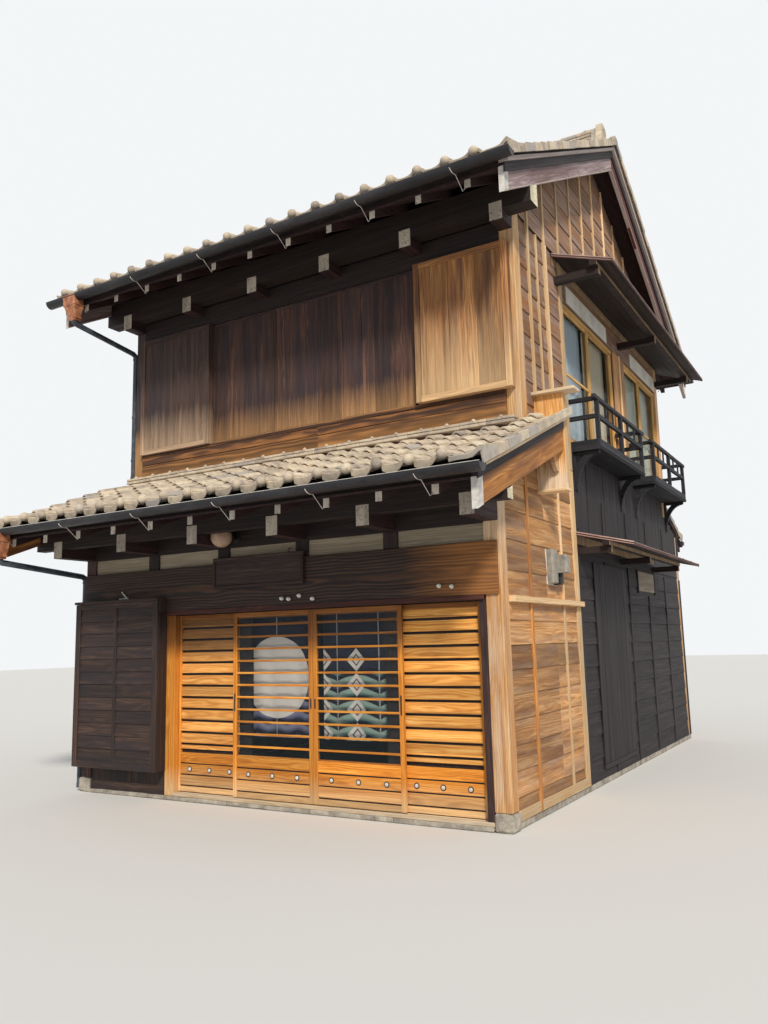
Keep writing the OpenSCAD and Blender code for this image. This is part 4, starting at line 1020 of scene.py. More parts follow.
def bargeboards():
    """Boards along the verges, under a dark strip, a pale one and the turned-down edges of the tiles. The
    dark strips are painted shadow, near-black where the tile edges shade the boards.
    """
    low, high = street_box("bargeboards")
    over = 0.012
    down = RAFTER_H - 0.215
    gap = 0.002
    main_low = UPPER_Y - MAIN_REACH - over
    main_high = 2 * RIDGE_Y - main_low
    pent = Pile()
    main = Pile()

    def boards(pile, x, side, y0, y1, under, rows):
        """Boards on top of each other, each by how far it stands out, its levels, thickness and finish."""
        for out, z0, z1, thick, slot in rows:
            slope_board(pile, x + side * out, y0, y1, under, z0, z1, thick, side, slot=slot)

    for side, x in ((-1, low[0]), (1, high[0])):
        for i, (y0, y1) in enumerate(((main_low, RIDGE_Y - gap), (main_high, RIDGE_Y + gap))):
            boards(main, x, side, y0, y1, main_under, [(-0.003, down, RAFTER_H, 0.038, i),
                                                       (0.004, down - 0.002, down + 0.012, 0.047, 3),
                                                       (0.016, 0.036, 0.130, 0.030, 4),
                                                       (0.050, 0.130, 0.170, 0.090, 3),
                                                       (0.020, 0.170, 0.205, 0.050, 4)])
        for y, way in ((main_low, 1), (main_high, -1)):
            cap(main, x, side, y, way, main_under, down)
        slopes = [(-PENT_REACH - over, (TAIL_Y if side > 0 else UPPER_Y) - gap, 1)]
        if side < 0:
            slopes.append((HOUSE_D + REAR_REACH + over, UPPER_END + gap, -1))
        for y0, y1, way in slopes:
            boards(pent, x, side, y0, y1, pent_under, [(-0.003, down, RAFTER_H, 0.038, 0),
                                                       (0.014, RAFTER_H, 0.158, 0.050, 3),
                                                       (0.060, 0.160, 0.184, 0.100, 2),
                                                       (0.020, 0.184, 0.208, 0.050, 3)])
            cap(pent, x, side, y0, way, pent_under, down, slot=1)
    piece("bargeboards_main", main, "high_barge_wood rear_barge_wood pale_metal verge_pale verge_black",
          ["bargeboards"])
    piece("bargeboards_pent", pent, "barge_wood pale_metal verge_cream verge_black",
          ["bargeboards"])


def cap(pile, x, side, y, way, under, down, slot=2):
    """A folded metal cap over the lower end of a bargeboard."""
    long = 0.11
    slope_board(pile, x + side * 0.001, y, y + way * long, under, down - 0.004, RAFTER_H + 0.018, 0.005,
                side, slot=slot)
    top = under(y) + RAFTER_H + 0.018
    low = under(y) + down - 0.004
    a, b = sorted((x + side * 0.001, x - side * 0.046))
    bar(pile, a, b, min(y, y - way * 0.003), max(y, y - way * 0.003) + 0.001, low, top, "z", slot=slot)


def gutter_runs():
    """Place, level, right end, facing and rafter ends of each gutter, and the finish of its front rim, a
    painted highlight.
    """
    right = street_box("gutters")[1][0]
    main = UPPER_Y - MAIN_REACH
    rear = HOUSE_D + REAR_REACH

    def run(rafter_y, under, x1, facing, rim):
        return rafter_y + facing * GUTTER_OUT, under(rafter_y) + ROOF_STACK + 0.07, x1, facing, rafter_y, rim

    return [run(main, main_under, right, -1, 2), run(2 * RIDGE_Y - main, main_under, right, 1, 2),
            run(-PENT_REACH, pent_under, right - 0.025, -1, 1), run(rear, pent_under, 0.0, 1, 2)]


def gutter_fittings():
    """Rims, end caps and hooks of the gutters."""
    pile = Pile()
    x0 = street_box("gutters")[0][0]
    inner = GUTTER_R - 0.0045
    for y, z, x1, facing, rafter_y, rim in gutter_runs():
        # The outer rim takes a paler finish: a painted highlight
        for side in SIGNS:
            edge = y + side * (GUTTER_R - 0.0035)
            tube(pile, [(x0, edge, z + 0.002), (x1, edge, z + 0.002)], 0.0035, 6,
                 slot=rim if side == facing else 0)
        half = [(y + inner * cos(a), z + inner * sin(a)) for a in np.linspace(pi, 2 * pi, 13)]
        for x in (x0 + 0.001, x1 - 0.005):
            pile.loft([[(x, s, t) for s, t in half], [(x + 0.004, s, t) for s, t in half]])
        for k in range(0, 11, 2):
            x = line_x(k / 2 + 0.25)
            if x0 < x < x1:
                hook(pile, x, y, z, facing, rafter_y)
    piece("gutter_fittings", pile, "gutter_metal pale_metal dull_metal", smooth=30)


def hook(pile, x, y, z, facing, rafter_y):
    """A wire hook round the front of a gutter, held by a small plate on the side of a rafter's end."""
    under = main_under if z > 4 else pent_under
    end_x = x + 0.25 * BAY - 0.5 * 0.060 - 0.004
    end_y = rafter_y - facing * 0.05
    end_z = under(end_y) + 0.045
    wide = GUTTER_R + 0.0025
    start = end_x - 0.062
    arc = [(start + 0.02 * share, y + facing * wide * cos(a), z - wide * sin(a))
           for a, share in zip(np.linspace(0.46, 0.60 * pi, 8), np.linspace(0, 1, 8))]
    foot = [(end_x - 0.036, end_y, end_z - 0.062), (end_x - 0.012, end_y, end_z - 0.040)]
    tube(pile, arc + foot + [(end_x - 0.003, end_y, end_z)], 0.0032, 6, slot=1)
    bar(pile, end_x - 0.004, end_x, end_y - 0.02, end_y + 0.02, end_z - 0.03, end_z + 0.03, "z", slot=1)


def downpipe(pile, x, gutter_y, gutter_z, wall_y, foot_z):
    """A tapered copper hopper under a gutter, a slanting pipe back to the wall, and a pipe down it."""
    radius = 0.032
    top = gutter_z + 0.006
    drop = 0.312
    lean = 0.050
    sections = [(0.0, 1.0), (-0.012, 1.0), (-0.014, 0.96), (-0.118, 0.96), (-0.122, 1.0), (-0.134, 1.0),
                (-0.138, 0.92), (-0.268, 0.58), (-0.274, 0.64), (-0.290, 0.64), (-0.294, 0.50),
                (-drop, 0.48)]
    pile.loft([[(x + lean * z / -drop + sx * 0.105 * part, gutter_y + sy * max(GUTTER_R * part, 0.036),
                 top + z) for sx, sy in SQUARE] for z, part in sections])
    pile.loft([[(x + sx * 0.098, gutter_y + sy * 0.058, top + z) for sx, sy in SQUARE]
               for z in (-0.001, 0.003)], slot=1)
    elbow = top - drop - radius - 0.104
    bend = [(x + lean, gutter_y, top - drop + 0.004), (x + lean, gutter_y, top - drop - 0.012),
            (x + lean * 0.97, gutter_y + 0.022, top - drop - 0.034)]
    turn = [(x, wall_y - 0.05, elbow + 0.016), (x, wall_y - 0.012, elbow - 0.004),
            (x, wall_y, elbow - 0.035), (x, wall_y, foot_z)]
    tube(pile, bend + turn, radius, 16, slot=1)
    for at in (elbow - 0.05, (elbow + foot_z) / 2, foot_z + 0.25):
        lathe(pile, (x, wall_y, at - 0.012), UP, [(0, radius), (0, radius + 0.005), (0.024, radius + 0.005),
                                                  (0.024, radius)], 16, slot=1)
        bar(pile, x + radius, HOUSE_L + 0.002, wall_y - 0.005, wall_y + 0.005, at - 0.010, at + 0.010, "x",
            slot=1)
    lathe(pile, (x, wall_y, foot_z), UP, [(0, radius), (0.0, radius + 0.004), (0.05, radius + 0.004),
                                          (0.052, radius)], 16, slot=1)


def downpipes():
    """The pipes of the two front gutters."""
    pile = Pile()
    x = HOUSE_L - 0.020 - 0.032 - 0.005
    (main_y, main_z), _, (pent_y, pent_z), _ = [run[:2] for run in gutter_runs()]
    downpipe(pile, x, main_y, main_z, UPPER_Y + 0.037, WALL_TOP + ROOF_STACK + TILE_T + 0.032)
    downpipe(pile, x, pent_y, pent_z, 0.037, 0.032)
    piece("rain_pipes", pile, "hopper_copper pipe_metal", ["downpipes"], smooth=35)


# Ground floor front

def foundation():
    """Blocks under the corners and strips of stone between them, cut off at the ground."""
    pile = Pile()
    strip, gap = 0.130, 0.004
    for x0, x1 in ((-POST, 0.020), (HOUSE_L - 0.020, HOUSE_L + POST)):
        bar(pile, x0, x1, -0.020, POST, 0.0, 0.148, "x", chamfer=0.016, wobble=0.004, step=0.08)
    for a, b in stretches(POST + 0.001, HOUSE_D, 0.835, 1.135, 0.3):
        for x0, x1 in ((-strip, 0.0), (HOUSE_L, HOUSE_L + strip)):
            bar(pile, x0, x1, a, b - gap, 0.0, 0.060, "y", chamfer=0.008, wobble=0.002, step=0.2)
    for a, b in stretches(HOUSE_L + strip + 0.002, -strip - 0.002, 1.05, 1.35):
        bar(pile, a, b - gap, HOUSE_D - POST, HOUSE_D, 0.0, 0.060, "x", chamfer=0.008, wobble=0.002)
    for a, b in stretches(HOUSE_L + POST + 0.001, -POST - 0.001, 0.88, 1.08):
        bar(pile, a, b - gap, -0.020, POST, 0.0, 0.040, "x", chamfer=0.008, wobble=0.002, step=0.2)
    pile.points = [np.maximum(points, (-np.inf, -np.inf, 0.0)) for points in pile.points]
    piece("foundation_stones", pile, "foundation_stone", ["plinth"])


def corner_posts():
    """The posts of the lower storey: corners, doorway and the short struts between the pale panels."""
    pile = Pile()
    for x in (-POST, HOUSE_L):
        bar(pile, x, x + POST, 0.0, POST, 0.150, pent_under(0) - 0.001, "z", chamfer=0.006, wobble=0.0015,
            slot=0 if x == -POST else 1)
        bar(pile, x, x + POST, HOUSE_D - POST, HOUSE_D, 0.060, pent_under(HOUSE_D) - 0.001, "z",
            chamfer=0.006, wobble=0.0015)
    bar(pile, -0.210, -0.151, 0.0, 0.130, 0.075, 1.860, "z", slot=1)
    bar(pile, -3.810, -3.690, 0.0, 0.130, 0.040, 1.860, "z", wobble=0.0015, slot=2)
    for k in range(1, 5):
        x = line_x(k)
        bar(pile, x - POST / 2, x + POST / 2, 0.0, 0.130, 2.355, 2.510, "z", wobble=0.001, slot=3)
    piece("posts_lower", pile, "post_wood jamb_wood door_wood beam_boards",
          ["lower_posts"])


def threshold():
    """The sill under the doors, with three low strips along it."""
    pile = Pile()
    x0, x1 = -3.690, -0.151
    bar(pile, x0, x1, -0.010, 0.022, 0.040, 0.075, "x", chamfer=0.006, wobble=0.001)
    for y in (0.023, 0.068, 0.113):
        bar(pile, x0, x1, y, y + 0.016, 0.040, 0.073, "x", wobble=0.0005)
    bar(pile, x0, x1, 0.012, 0.130, 0.040, 0.062, "x")
    piece("door_sill", pile, "sill_wood", ["door_threshold"])


def front_lintel():
    """The deep facing board over the doors, with its knobs, bracket and lower edge strip."""
    (x0, y0, z0), (x1, y1, z1) = street_box("front_lintel")
    pile = Pile()
    bar(pile, x0, x1, y0, y1, z0 + 0.001, z1, "x", chamfer=0.006, wobble=0.002, step=0.3)
    bar(pile, x0 + 1.28, x1 - 0.135, y0 - 0.004, y0 + 0.006, z0 - 0.038, z0 + 0.006, "x", slot=3)
    knobs = ((-2.255, 1.968), (-2.172, 1.960), (-2.047, 1.985), (-1.894, 1.950), (-0.56, 1.995),
             (-0.44, 1.985))
    for x, z in knobs:
        lathe(pile, (x, y0, z), -BACK, [(0, 0.013), (0.008, 0.013), (0.012, 0.019), (0.022, 0.019),
                                        (0.028, 0.010), (0.034, 0.015), (0.040, 0.013), (0.043, 0.004)], 14,
              slot=1)
    tube(pile, [(-4.49, y0 - 0.012, 2.066), (-4.35, y0 - 0.012, 2.066)], 0.008, 8, slot=1)
    tube(pile, [(-4.46, y0 - 0.006, 2.140), (-4.37, y0 - 0.016, 2.070)], 0.009, 8, slot=1)
    piece("lintel_board", pile, "lintel_wood porcelain iron track_wood", ["front_lintel"],
          smooth=25)


def bay_wall():
    """Boards of the last bay, behind the shutter box."""
    (x0, y0, z0), (x1, y1, z1) = street_box("lower_front_wall")
    pile = Pile()
    for a, b in stretches(x0, x1, 0.17, 0.24):
        bar(pile, a + 0.001, b - 0.001, y0 + dice.uniform(0, 0.003), y0 + 0.030, z0 + 0.06, z1, "z")
    bar(pile, x0, x1, y0 - 0.012, y0 + 0.02, z0, z0 + 0.09, "x", wobble=0.001)
    bar(pile, x0, x1, y0 + 0.031, y1, z0, z1, "x")
    piece("bay_boards", pile, "low_box_wood", ["lower_front_wall"])


def lower_shutter_box():
    """A framed front of two columns of lapped boards, thin side boards, a floor and a top."""
    low, high = street_box("lower_shutter_box")
    x0, x1 = low[0] + 0.010, high[0] - 0.010
    y0, y1 = low[1] + 0.020, -0.025
    z0, z1 = low[2], high[2] - 0.030
    stile, rail, head, half, side, rows = 0.075, 0.07, 0.06, 0.022, 0.020, 12
    back = y0 + 0.028
    pile = Pile()
    for a in (x0, x1 - stile):
        bar(pile, a, a + stile, y0, back, z0, z1, "z", wobble=0.001)
    middle = (x0 + x1) / 2
    bar(pile, middle - half, middle + half, y0 + 0.003, back, z0 + rail, z1 - head, "z", wobble=0.001)
    for a, b in ((z0, z0 + rail), (z1 - head, z1)):
        bar(pile, x0 + stile, x1 - stile, y0 + 0.002, back, a, b, "x", wobble=0.001)
    pitch = (z1 - z0 - rail - head) / rows
    for i in range(rows):
        z = z0 + rail + i * pitch
        for a, b in ((x0 + stile, middle - half), (middle + half, x1 - stile)):
            plank(pile, (a, y0 + 0.007, z), (b, y0 + 0.007, z), (a, y0 + 0.018, z + pitch + 0.01),
                  (b, y0 + 0.018, z + pitch + 0.01), 0.008, -BACK, wobble=0.0008, chamfer=0.002)
    for x in (x0, x1 - side):
        bar(pile, x, x + side, back + 0.001, 0.0, z0, z1 - 0.12, "z", wobble=0.0008)
        bar(pile, x, x + side, back + 0.001, y1, z1 - 0.12, z1, "z", wobble=0.0008)
    bar(pile, x0 + side, x1 - side, back, 0.018, z0, z0 + side, "x")
    bar(pile, x0 + side, x1 - side, back, y1, z1 - side, z1, "x")
    bar(pile, low[0], high[0], low[1], y1, z1 + 0.001, high[2], "x", chamfer=0.006, wobble=0.0015)
    piece("shutter_box_lower", pile, "low_box_wood", ["lower_shutter_box"])


def sliding_door(side, glazed):
    """A sliding door over a boarded foot: thin bars before the glass, or louvre boards. The part of a
    louvre door that lies behind a glazed one is a broad stile, near-black as painted shade, and a strip
    of painted shadow lies under the lip of each louvre board."""
    kind = "glazed" if glazed else "louvre"
    node = kind + "_door_" + side
    (x0, y0, z0), (x1, y1, z1) = street_box(node)
    stile = 0.045
    left, right = (stile, stile) if glazed else (0.152, stile) if side == "right" else (0.022, 0.152)
    foot = z0 + 0.300
    back = y1 - 0.002
    pile = Pile()
    for a, b in ((x0, x0 + left), (x1 - right, x1)):
        # A broad stile, behind a glazed door, is near-black as painted shade
        bar(pile, a, b, y0, y1, z0, z1, "z", wobble=0.0006, slot=5 if b - a > 0.1 else 0)
    a, b = x0 + left, x1 - right
    bar(pile, a, b, y0 + 0.002, back, z1 - stile, z1, "x")
    bar(pile, a, b, y0 + 0.002, back, z0, z0 + 0.052, "x", wobble=0.0006)
    bar(pile, a, b, y0 + 0.002, back, foot - 0.014, foot + 0.085, "x", wobble=0.0008)
    for low_z, high_z in ((0.066, 0.160), (0.174, 0.272)):
        bar(pile, a, b, y0 + 0.006, y0 + 0.020, z0 + low_z, z0 + high_z, "x", wobble=0.0008)
    bar(pile, a, b, y0 + 0.021, y0 + 0.030, z0 + 0.045, foot, "x", slot=2)
    for i in range(3):
        centre = (a + (b - a) * (2 * i + 1) / 6, y0 + 0.006, z0 + 0.223)
        lathe(pile, centre, -BACK, [(-0.002, 0.028), (0.001, 0.027), (0.002, 0.021)], 18, slot=2)
        lathe(pile, centre, -BACK, [(0.0, 0.019), (0.005, 0.018), (0.009, 0.013), (0.011, 0.004)], 16,
              slot=1)
    bottom, top = foot + 0.085, z1 - stile
    pitch = (top - bottom) / 11.5
    if glazed:
        for i in range(11):
            z = bottom + (i + 0.83) * pitch
            bar(pile, a, b, y0 + 0.004, y0 + 0.016, z - 0.010, z + 0.010, "x", wobble=0.0005, slot=4)
        for z in (bottom, top - 0.012):
            bar(pile, a, b, y0 + 0.024, y1 - 0.003, z, z + 0.012, "x")
        bar(pile, a, b, y1 - 0.010, y1 - 0.003, bottom - 0.085, bottom, "x")
    else:
        for i in range(12):
            z = max(bottom + (i - 0.37) * pitch, bottom)
            high = min(bottom + (i + 0.63) * pitch, top)
            if i > 0:
                # A near-black strip under each lip: painted shadow
                bar(pile, a, b, y0 + 0.026, y0 + 0.030, z, z + 0.030, "x", slot=5)
                bar(pile, a - 0.003, b + 0.003, y0 + 0.001, y0 + 0.016, z + 0.024, z + 0.040, "x",
                    wobble=0.0006, slot=4)
            plank(pile, (a, y0 + 0.005, z + 0.038), (b, y0 + 0.005, z + 0.038), (a, y0 + 0.025, high),
                  (b, y0 + 0.025, high), 0.006, -BACK, wobble=0.0008, chamfer=0.002, slot=4)
        bar(pile, a, b, y1 - 0.004, y1 - 0.001, bottom, top, "z", slot=3)
    inner, outer = (x0, x1) if side == "right" else (x1, x0)
    for x in [inner, outer] if glazed else [inner]:
        inward = 1 if x == x0 else -1
        long = 0.045 if x == inner else 0.085
        centre = x + inward * 0.022
        bar(pile, centre - 0.008, centre + 0.008, y0 - 0.0015, y0 + 0.004, 0.98 - long, 0.98 + long, "z",
            slot=2)
    bars = "door_wood" if glazed else "louvre_wood" if side == "right" else "old_louvre_wood"
    finishes = "door_wood pale_metal iron beam_boards " + bars + " sheltered_wood"
    piece(kind + "_door_" + side + "_wood", pile, finishes, [node], body=kind + "_" + side)
    if glazed:
        dress("door_glass_" + side, "window_glass")


# Upper front

def upper_posts():
    """The corner posts of the upper storey."""
    pile = Pile()
    for x in (-POST, HOUSE_L):
        for y in (UPPER_Y, UPPER_END - POST):
            bar(pile, x, x + POST, y, y + POST, WALL_TOP, ROOF_Z - 0.001, "z", chamfer=0.006, wobble=0.0015,
                slot=1 if x == HOUSE_L and y == UPPER_Y else 0)
    piece("posts_upper", pile, "upper_post_wood shaded_post_wood", ["upper_posts"])


def skirt():
    """The wide boards between the lower roof and the upper shutters."""
    low, high = street_box("upper_front_wall")
    pile = Pile()
    y = low[1]
    split = -2.3
    for x0, x1 in ((low[0], split), (split, high[0])):
        bar(pile, x0 + 0.001, x1 - 0.001, y + 0.004, y + 0.024, 3.572, 3.722, "x", wobble=0.0015)
        bar(pile, x0 + 0.001, x1 - 0.001, y + 0.002, y + 0.024, 3.726, 3.812, "x", wobble=0.0015)
    bar(pile, low[0], high[0], y, y + 0.025, 3.816, high[2], "x", wobble=0.001)
    bar(pile, low[0], high[0], y + 0.0255, high[1], 2.990, high[2], "x")
    piece("skirt_boards", pile, "skirt_wood", ["upper_front_wall"])


def upper_shutter_boxes():
    """A framed panel before each box, and the thin walls of the box behind it."""
    z0, z1 = 3.851, 5.299
    low, high = street_box("upper_shutter_boxes")
    pile = Pile()
    boxes = ((low[0], low[0] + 1.105, 0.610, 0.700, 0.055), (high[0] - 1.010, high[0], 0.580, 0.669, 0.060))
    depth, wall = 0.028, 0.020
    for slot, (x0, x1, y, _, stile) in enumerate(boxes):
        panel(pile, x0, x1, y, depth, z0, z1, 3, stile=stile, rail=stile, slot=slot)
    for slot, (x0, x1, y, back, _) in enumerate(boxes):
        for x in (x0, x1 - wall):
            bar(pile, x, x + wall, y + depth, back, z0, z1, "z", slot=slot)
        for z in (z0, z1 - wall):
            bar(pile, x0 + wall, x1 - wall, y + depth, back, z, z + wall, "x", slot=slot)
    piece("shutter_boxes_upper", pile, "left_box_wood right_box_wood",
          ["upper_shutter_boxes"])


def rain_shutters():
    """Three shutters of upright boards, each a little behind the next."""
    (x0, y0, z0), (x1, _, z1) = street_box("rain_shutters")
    pile = Pile()
    count = 3
    width = (x1 - x0) / count
    for i in range(count):
        x = x0 + i * width
        y = y0 + (0.006 if i == 1 else 0.0)
        panel(pile, x, x + width, y, 0.024, z0, z1, 4 if i != 1 else 3, stile=0.028, rail=0.030, face=0.006)
    piece("shutters_upper", pile, "shutter_wood", ["rain_shutters"])


# Walls

FRONT_END = 2.044
BOARD_PITCH = 0.235


def rect(s0, s1, z0, z1):
    """The outline of an upright rectangle."""
    return [(s0, z0), (s1, z0), (s1, z1), (s0, z1)]


def gable(foot):
    """The outline of the upper side wall from a level up to the roof."""
    y0, y1 = UPPER_Y + POST, UPPER_END - POST
    return [(y0, foot), (y1, foot), (y1, main_under(y1)), (RIDGE_Y, main_under(RIDGE_Y)),
            (y0, main_under(y0))]


def lower_side_outline(s0, s1):
    """The lower side wall between two depths, cut above to the lower roofs."""
    def top(s):
        return min(WALL_TOP, pent_under(s))
    points = [(s0, 0.062), (s1, 0.062), (s1, top(s1))]
    for s in (UPPER_END, UPPER_Y):
        if s0 < s < s1:
            points.append((s, top(s)))
    return points + [(s0, top(s0))]


def right_cladding():
    """Boards of the right side: pale and sunburnt in front, and near-black under the side roofs as painted
    shade.
    """
    pile = Pile()
    foot, ledge_z, board_foot, band_top = 0.062, 1.865, 2.640, 5.640
    rear_start, rear_end, window_end = FRONT_END + 0.002, HOUSE_D - POST, UPPER_END - POST
    breaks = [-line_x(k) for k in range(8)]
    upper = [(POST, ledge_z), (FRONT_END, ledge_z), (FRONT_END, WALL_TOP), (UPPER_Y, WALL_TOP),
             (POST, pent_under(POST))]
    lapped(pile, on_right, rect(POST, FRONT_END, foot, ledge_z), 0.205, [0.72, 1.30])
    lapped(pile, on_right, upper, 0.265, [0.63, 1.10, 1.56])
    lapped(pile, on_right, rect(rear_start, rear_end, foot, board_foot), BOARD_PITCH, breaks, slot=1)
    lapped(pile, on_right, rect(UPPER_Y + POST, FRONT_END, WALL_TOP, band_top), BOARD_PITCH, [1.40], slot=2)
    for a, b in stretches(rear_start, rear_end, 0.13, 0.19):
        top = WINDOW_SILL - 0.003 if b <= window_end else min(WALL_TOP, pent_under(b)) - 0.004
        upright(pile, on_right, (a + b) / 2, b - a - 0.003, board_foot - 0.02, top,
                0.020 + dice.uniform(0, 0.006), 0.016, slot=1)
    band = rect(rear_start, window_end, WINDOW_HEAD + 0.002, band_top)
    lapped(pile, on_right, band, BOARD_PITCH, breaks, slot=2)
    for s in (4.108, 4.285, 4.462):
        upright(pile, on_right, s, 0.174, WINDOW_SILL + 0.002, WINDOW_HEAD, 0.018, 0.016)
    piece("side_boards", pile, "side_wood side_dark gable_wood")


def gable_boards():
    """Lapped boards of the right gable."""
    pile = Pile()
    lapped(pile, on_right, gable(5.641), BOARD_PITCH, [1.5, 2.45, 3.4, 4.35, 5.3], jut=0.030)
    piece("gable_boards", pile, "gable_wood")


def side_battens():
    """Strips over the lapped boards, the ledge, the end posts and the white panel of the right side."""
    pile = Pile()
    for i in range(12):
        s = 1.03 + 0.478 * i
        if s > UPPER_END - 0.25:
            break
        top = main_under(s) - 0.005
        upright(pile, on_right, s, 0.034, 5.645 if s > 1.75 else WALL_TOP + 0.3, top, 0.042, 0.038)
    for s in (1.28, 1.56):
        upright(pile, on_right, s, 0.030, WALL_TOP + 0.1, 5.62, 0.036, 0.032)
    upright(pile, on_right, 1.985, 0.110, WALL_TOP, 5.62, 0.030, 0.030)
    upright(pile, on_right, 4.285, 0.050, WINDOW_SILL + 0.002, WINDOW_HEAD, 0.034, 0.014)
    for s0, s1 in ((2.20, 3.75), (4.90, 6.28)):
        level(pile, on_right, s0, s1, WINDOW_HEAD + 0.02, WINDOW_HEAD + 0.22, 0.024, 0.020, slot=3)
    for s, width, slot in ((0.66, 0.055, 1), (1.54, 0.045, 0), (1.98, 0.125, 0)):
        top = min(WALL_TOP, pent_under(s)) - 0.005
        upright(pile, on_right, s, width, 1.90, top, 0.030, 0.028, slot=slot)
        upright(pile, on_right, s, width, 0.065, 1.84, 0.030, 0.028, slot=slot)
    level(pile, on_right, POST + 0.002, FRONT_END, 1.842, 1.895, 0.075, 0.085, wobble=0.002)
    level(pile, on_right, POST + 0.002, FRONT_END, 0.062, 0.150, 0.030, 0.028, wobble=0.001)
    for k in range(2, 8):
        s = POST / 2 + k * BAY
        top = min(WALL_TOP - 0.02, pent_under(s)) - 0.005
        upright(pile, on_right, s + 0.03, 0.060, 0.065, 2.06 if k == 5 else 2.37, 0.030, 0.028, slot=2)
        upright(pile, on_right, s + 0.03, 0.060, 2.66, min(top, 3.06), 0.036, 0.030, slot=2)
    for i in range(7):
        s = 2.66 + i * 0.185
        upright(pile, on_right, s, 0.181, 0.20, 2.34, 0.034 + dice.uniform(0, 0.004), 0.016, slot=2)
    level(pile, on_right, 2.55, 3.88, 0.150, 0.200, 0.040, 0.030, slot=2)
    level(pile, on_right, 4.50, 5.38, 2.11, 2.365, 0.022, 0.020, slot=4, chamfer=0.003)
    for s in (4.48, 5.37):
        upright(pile, on_right, s, 0.035, 2.08, 2.38, 0.032, 0.030, slot=2)
    piece("side_battens", pile, "batten_wood barge_wood side_dark pale_plaster panel_boards")


def left_cladding():
    """The plain party side: lapped boards under upright battens, up into the gable."""
    pile = Pile()
    breaks = [POST / 2 + k * BAY for k in range(8)]
    lapped(pile, on_left, lower_side_outline(POST, HOUSE_D - POST), BOARD_PITCH, breaks)
    y0, y1 = UPPER_Y + POST, UPPER_END - POST
    lapped(pile, on_left, gable(WALL_TOP), BOARD_PITCH, breaks)
    for k in range(1, 15):
        s = POST / 2 + k * BAY / 2
        if POST < s < HOUSE_D - POST:
            upright(pile, on_left, s, 0.034, 0.065, min(WALL_TOP, pent_under(s)) - 0.004, 0.030, 0.026)
        if y0 < s < y1:
            upright(pile, on_left, s, 0.034, WALL_TOP + 0.045, main_under(s) - 0.004, 0.030, 0.026)
    level(pile, on_left, UPPER_Y, UPPER_END, WALL_TOP - 0.03, WALL_TOP + 0.04, 0.036, 0.030)
    piece("party_boards", pile, "party_wood")


def rear_cladding():
    """Lapped boards and battens of the rear, round its two windows."""
    pile = Pile()
    x0, x1 = HOUSE_L + POST, -POST
    window_l, window_r = line_x(3) + POST / 2, line_x(1) - POST / 2
    spans = ((0.062, pent_under(HOUSE_D) - 0.002), (WALL_TOP + 0.30, ROOF_Z - 0.002))
    for (foot, top), (face, sill, head) in zip(spans, REAR_WINDOWS):
        place = on_rear(face)
        for a, b, z0, z1 in ((x0, window_l - 0.05, foot, top), (window_r + 0.05, x1, foot, top),
                             (window_l - 0.05, window_r + 0.05, foot, sill - 0.03),
                             (window_l - 0.05, window_r + 0.05, head + 0.03, top)):
            lapped(pile, place, rect(a, b, z0, z1), BOARD_PITCH, [line_x(1.5), line_x(2.5)])
        for s in [line_x(k / 2) for k in range(1, 10)]:
            for z0, z1 in ((foot, sill - 0.032), (head + 0.032, top)):
                upright(pile, place, s, 0.034, z0, z1, 0.030, 0.026)
            if s < window_l - 0.06 or s > window_r + 0.06:
                upright(pile, place, s, 0.034, sill - 0.03, head + 0.03, 0.030, 0.026)
        for s in (window_l - 0.03, window_r + 0.03):
            upright(pile, place, s, 0.055, sill - 0.03, head + 0.03, 0.034, 0.032, slot=1)
        for z0, z1 in ((sill - 0.035, sill - 0.001), (head + 0.001, head + 0.035)):
            level(pile, place, window_l - 0.08, window_r + 0.08, z0, z1, 0.055, 0.050, slot=1)
    piece("rear_boards", pile, "party_wood frame_wood")


# Windows

def window(put, a, b, sill, head, middle, rail, sash):
    """A frame between a and b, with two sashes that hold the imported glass. put(a, b, near, far, z0, z1,
    lying) makes a bar at depths from the wall's face, and sash is the depth of the sashes."""
    t = 0.045
    stile = 0.030
    for z in (sill, head - t):
        put(a, b, -0.070, 0.0, z, z + t, True)
    centre = (a + b - t) / 2
    for s in (a, centre, b - t):
        put(s, s + t, -0.070, -0.010, sill + t, head - t, False)
    for p, q in ((a + t, centre), (centre + t, b - t)):
        for z in (sill + t, middle, head - t - rail):
            put(p, q, sash, sash + 0.020, z, z + rail, True)
        for s in (p, q - stile):
            put(s, s + stile, sash, sash + 0.020, sill + t, head - t, False)


def window_frames():
    """The side windows and the rear ones."""
    pile = Pile()

    def on_side(a, b, near, far, z0, z1, lying):
        bar(pile, WALL_X + near, WALL_X + far, a, b, z0, z1, "y" if lying else "z")

    for s0, s1 in ((2.046, 4.014), (4.556, 6.294)):
        window(on_side, s0, s1, WINDOW_SILL, WINDOW_HEAD, 4.380, 0.030, -0.036)
    x0, x1 = line_x(3) + POST / 2 + 0.001, line_x(1) - POST / 2 - 0.001
    for face, sill, head in REAR_WINDOWS:
        def at_rear(a, b, near, far, z0, z1, lying):
            bar(pile, a, b, face + near, face + far, z0, z1, "x" if lying else "z")
        window(at_rear, x0, x1, sill, head, (sill + head) / 2, 0.026, -0.040)
    piece("window_sashes", pile, "frame_wood", ["window_frames"])
    dress("window_glass", "window_glass")


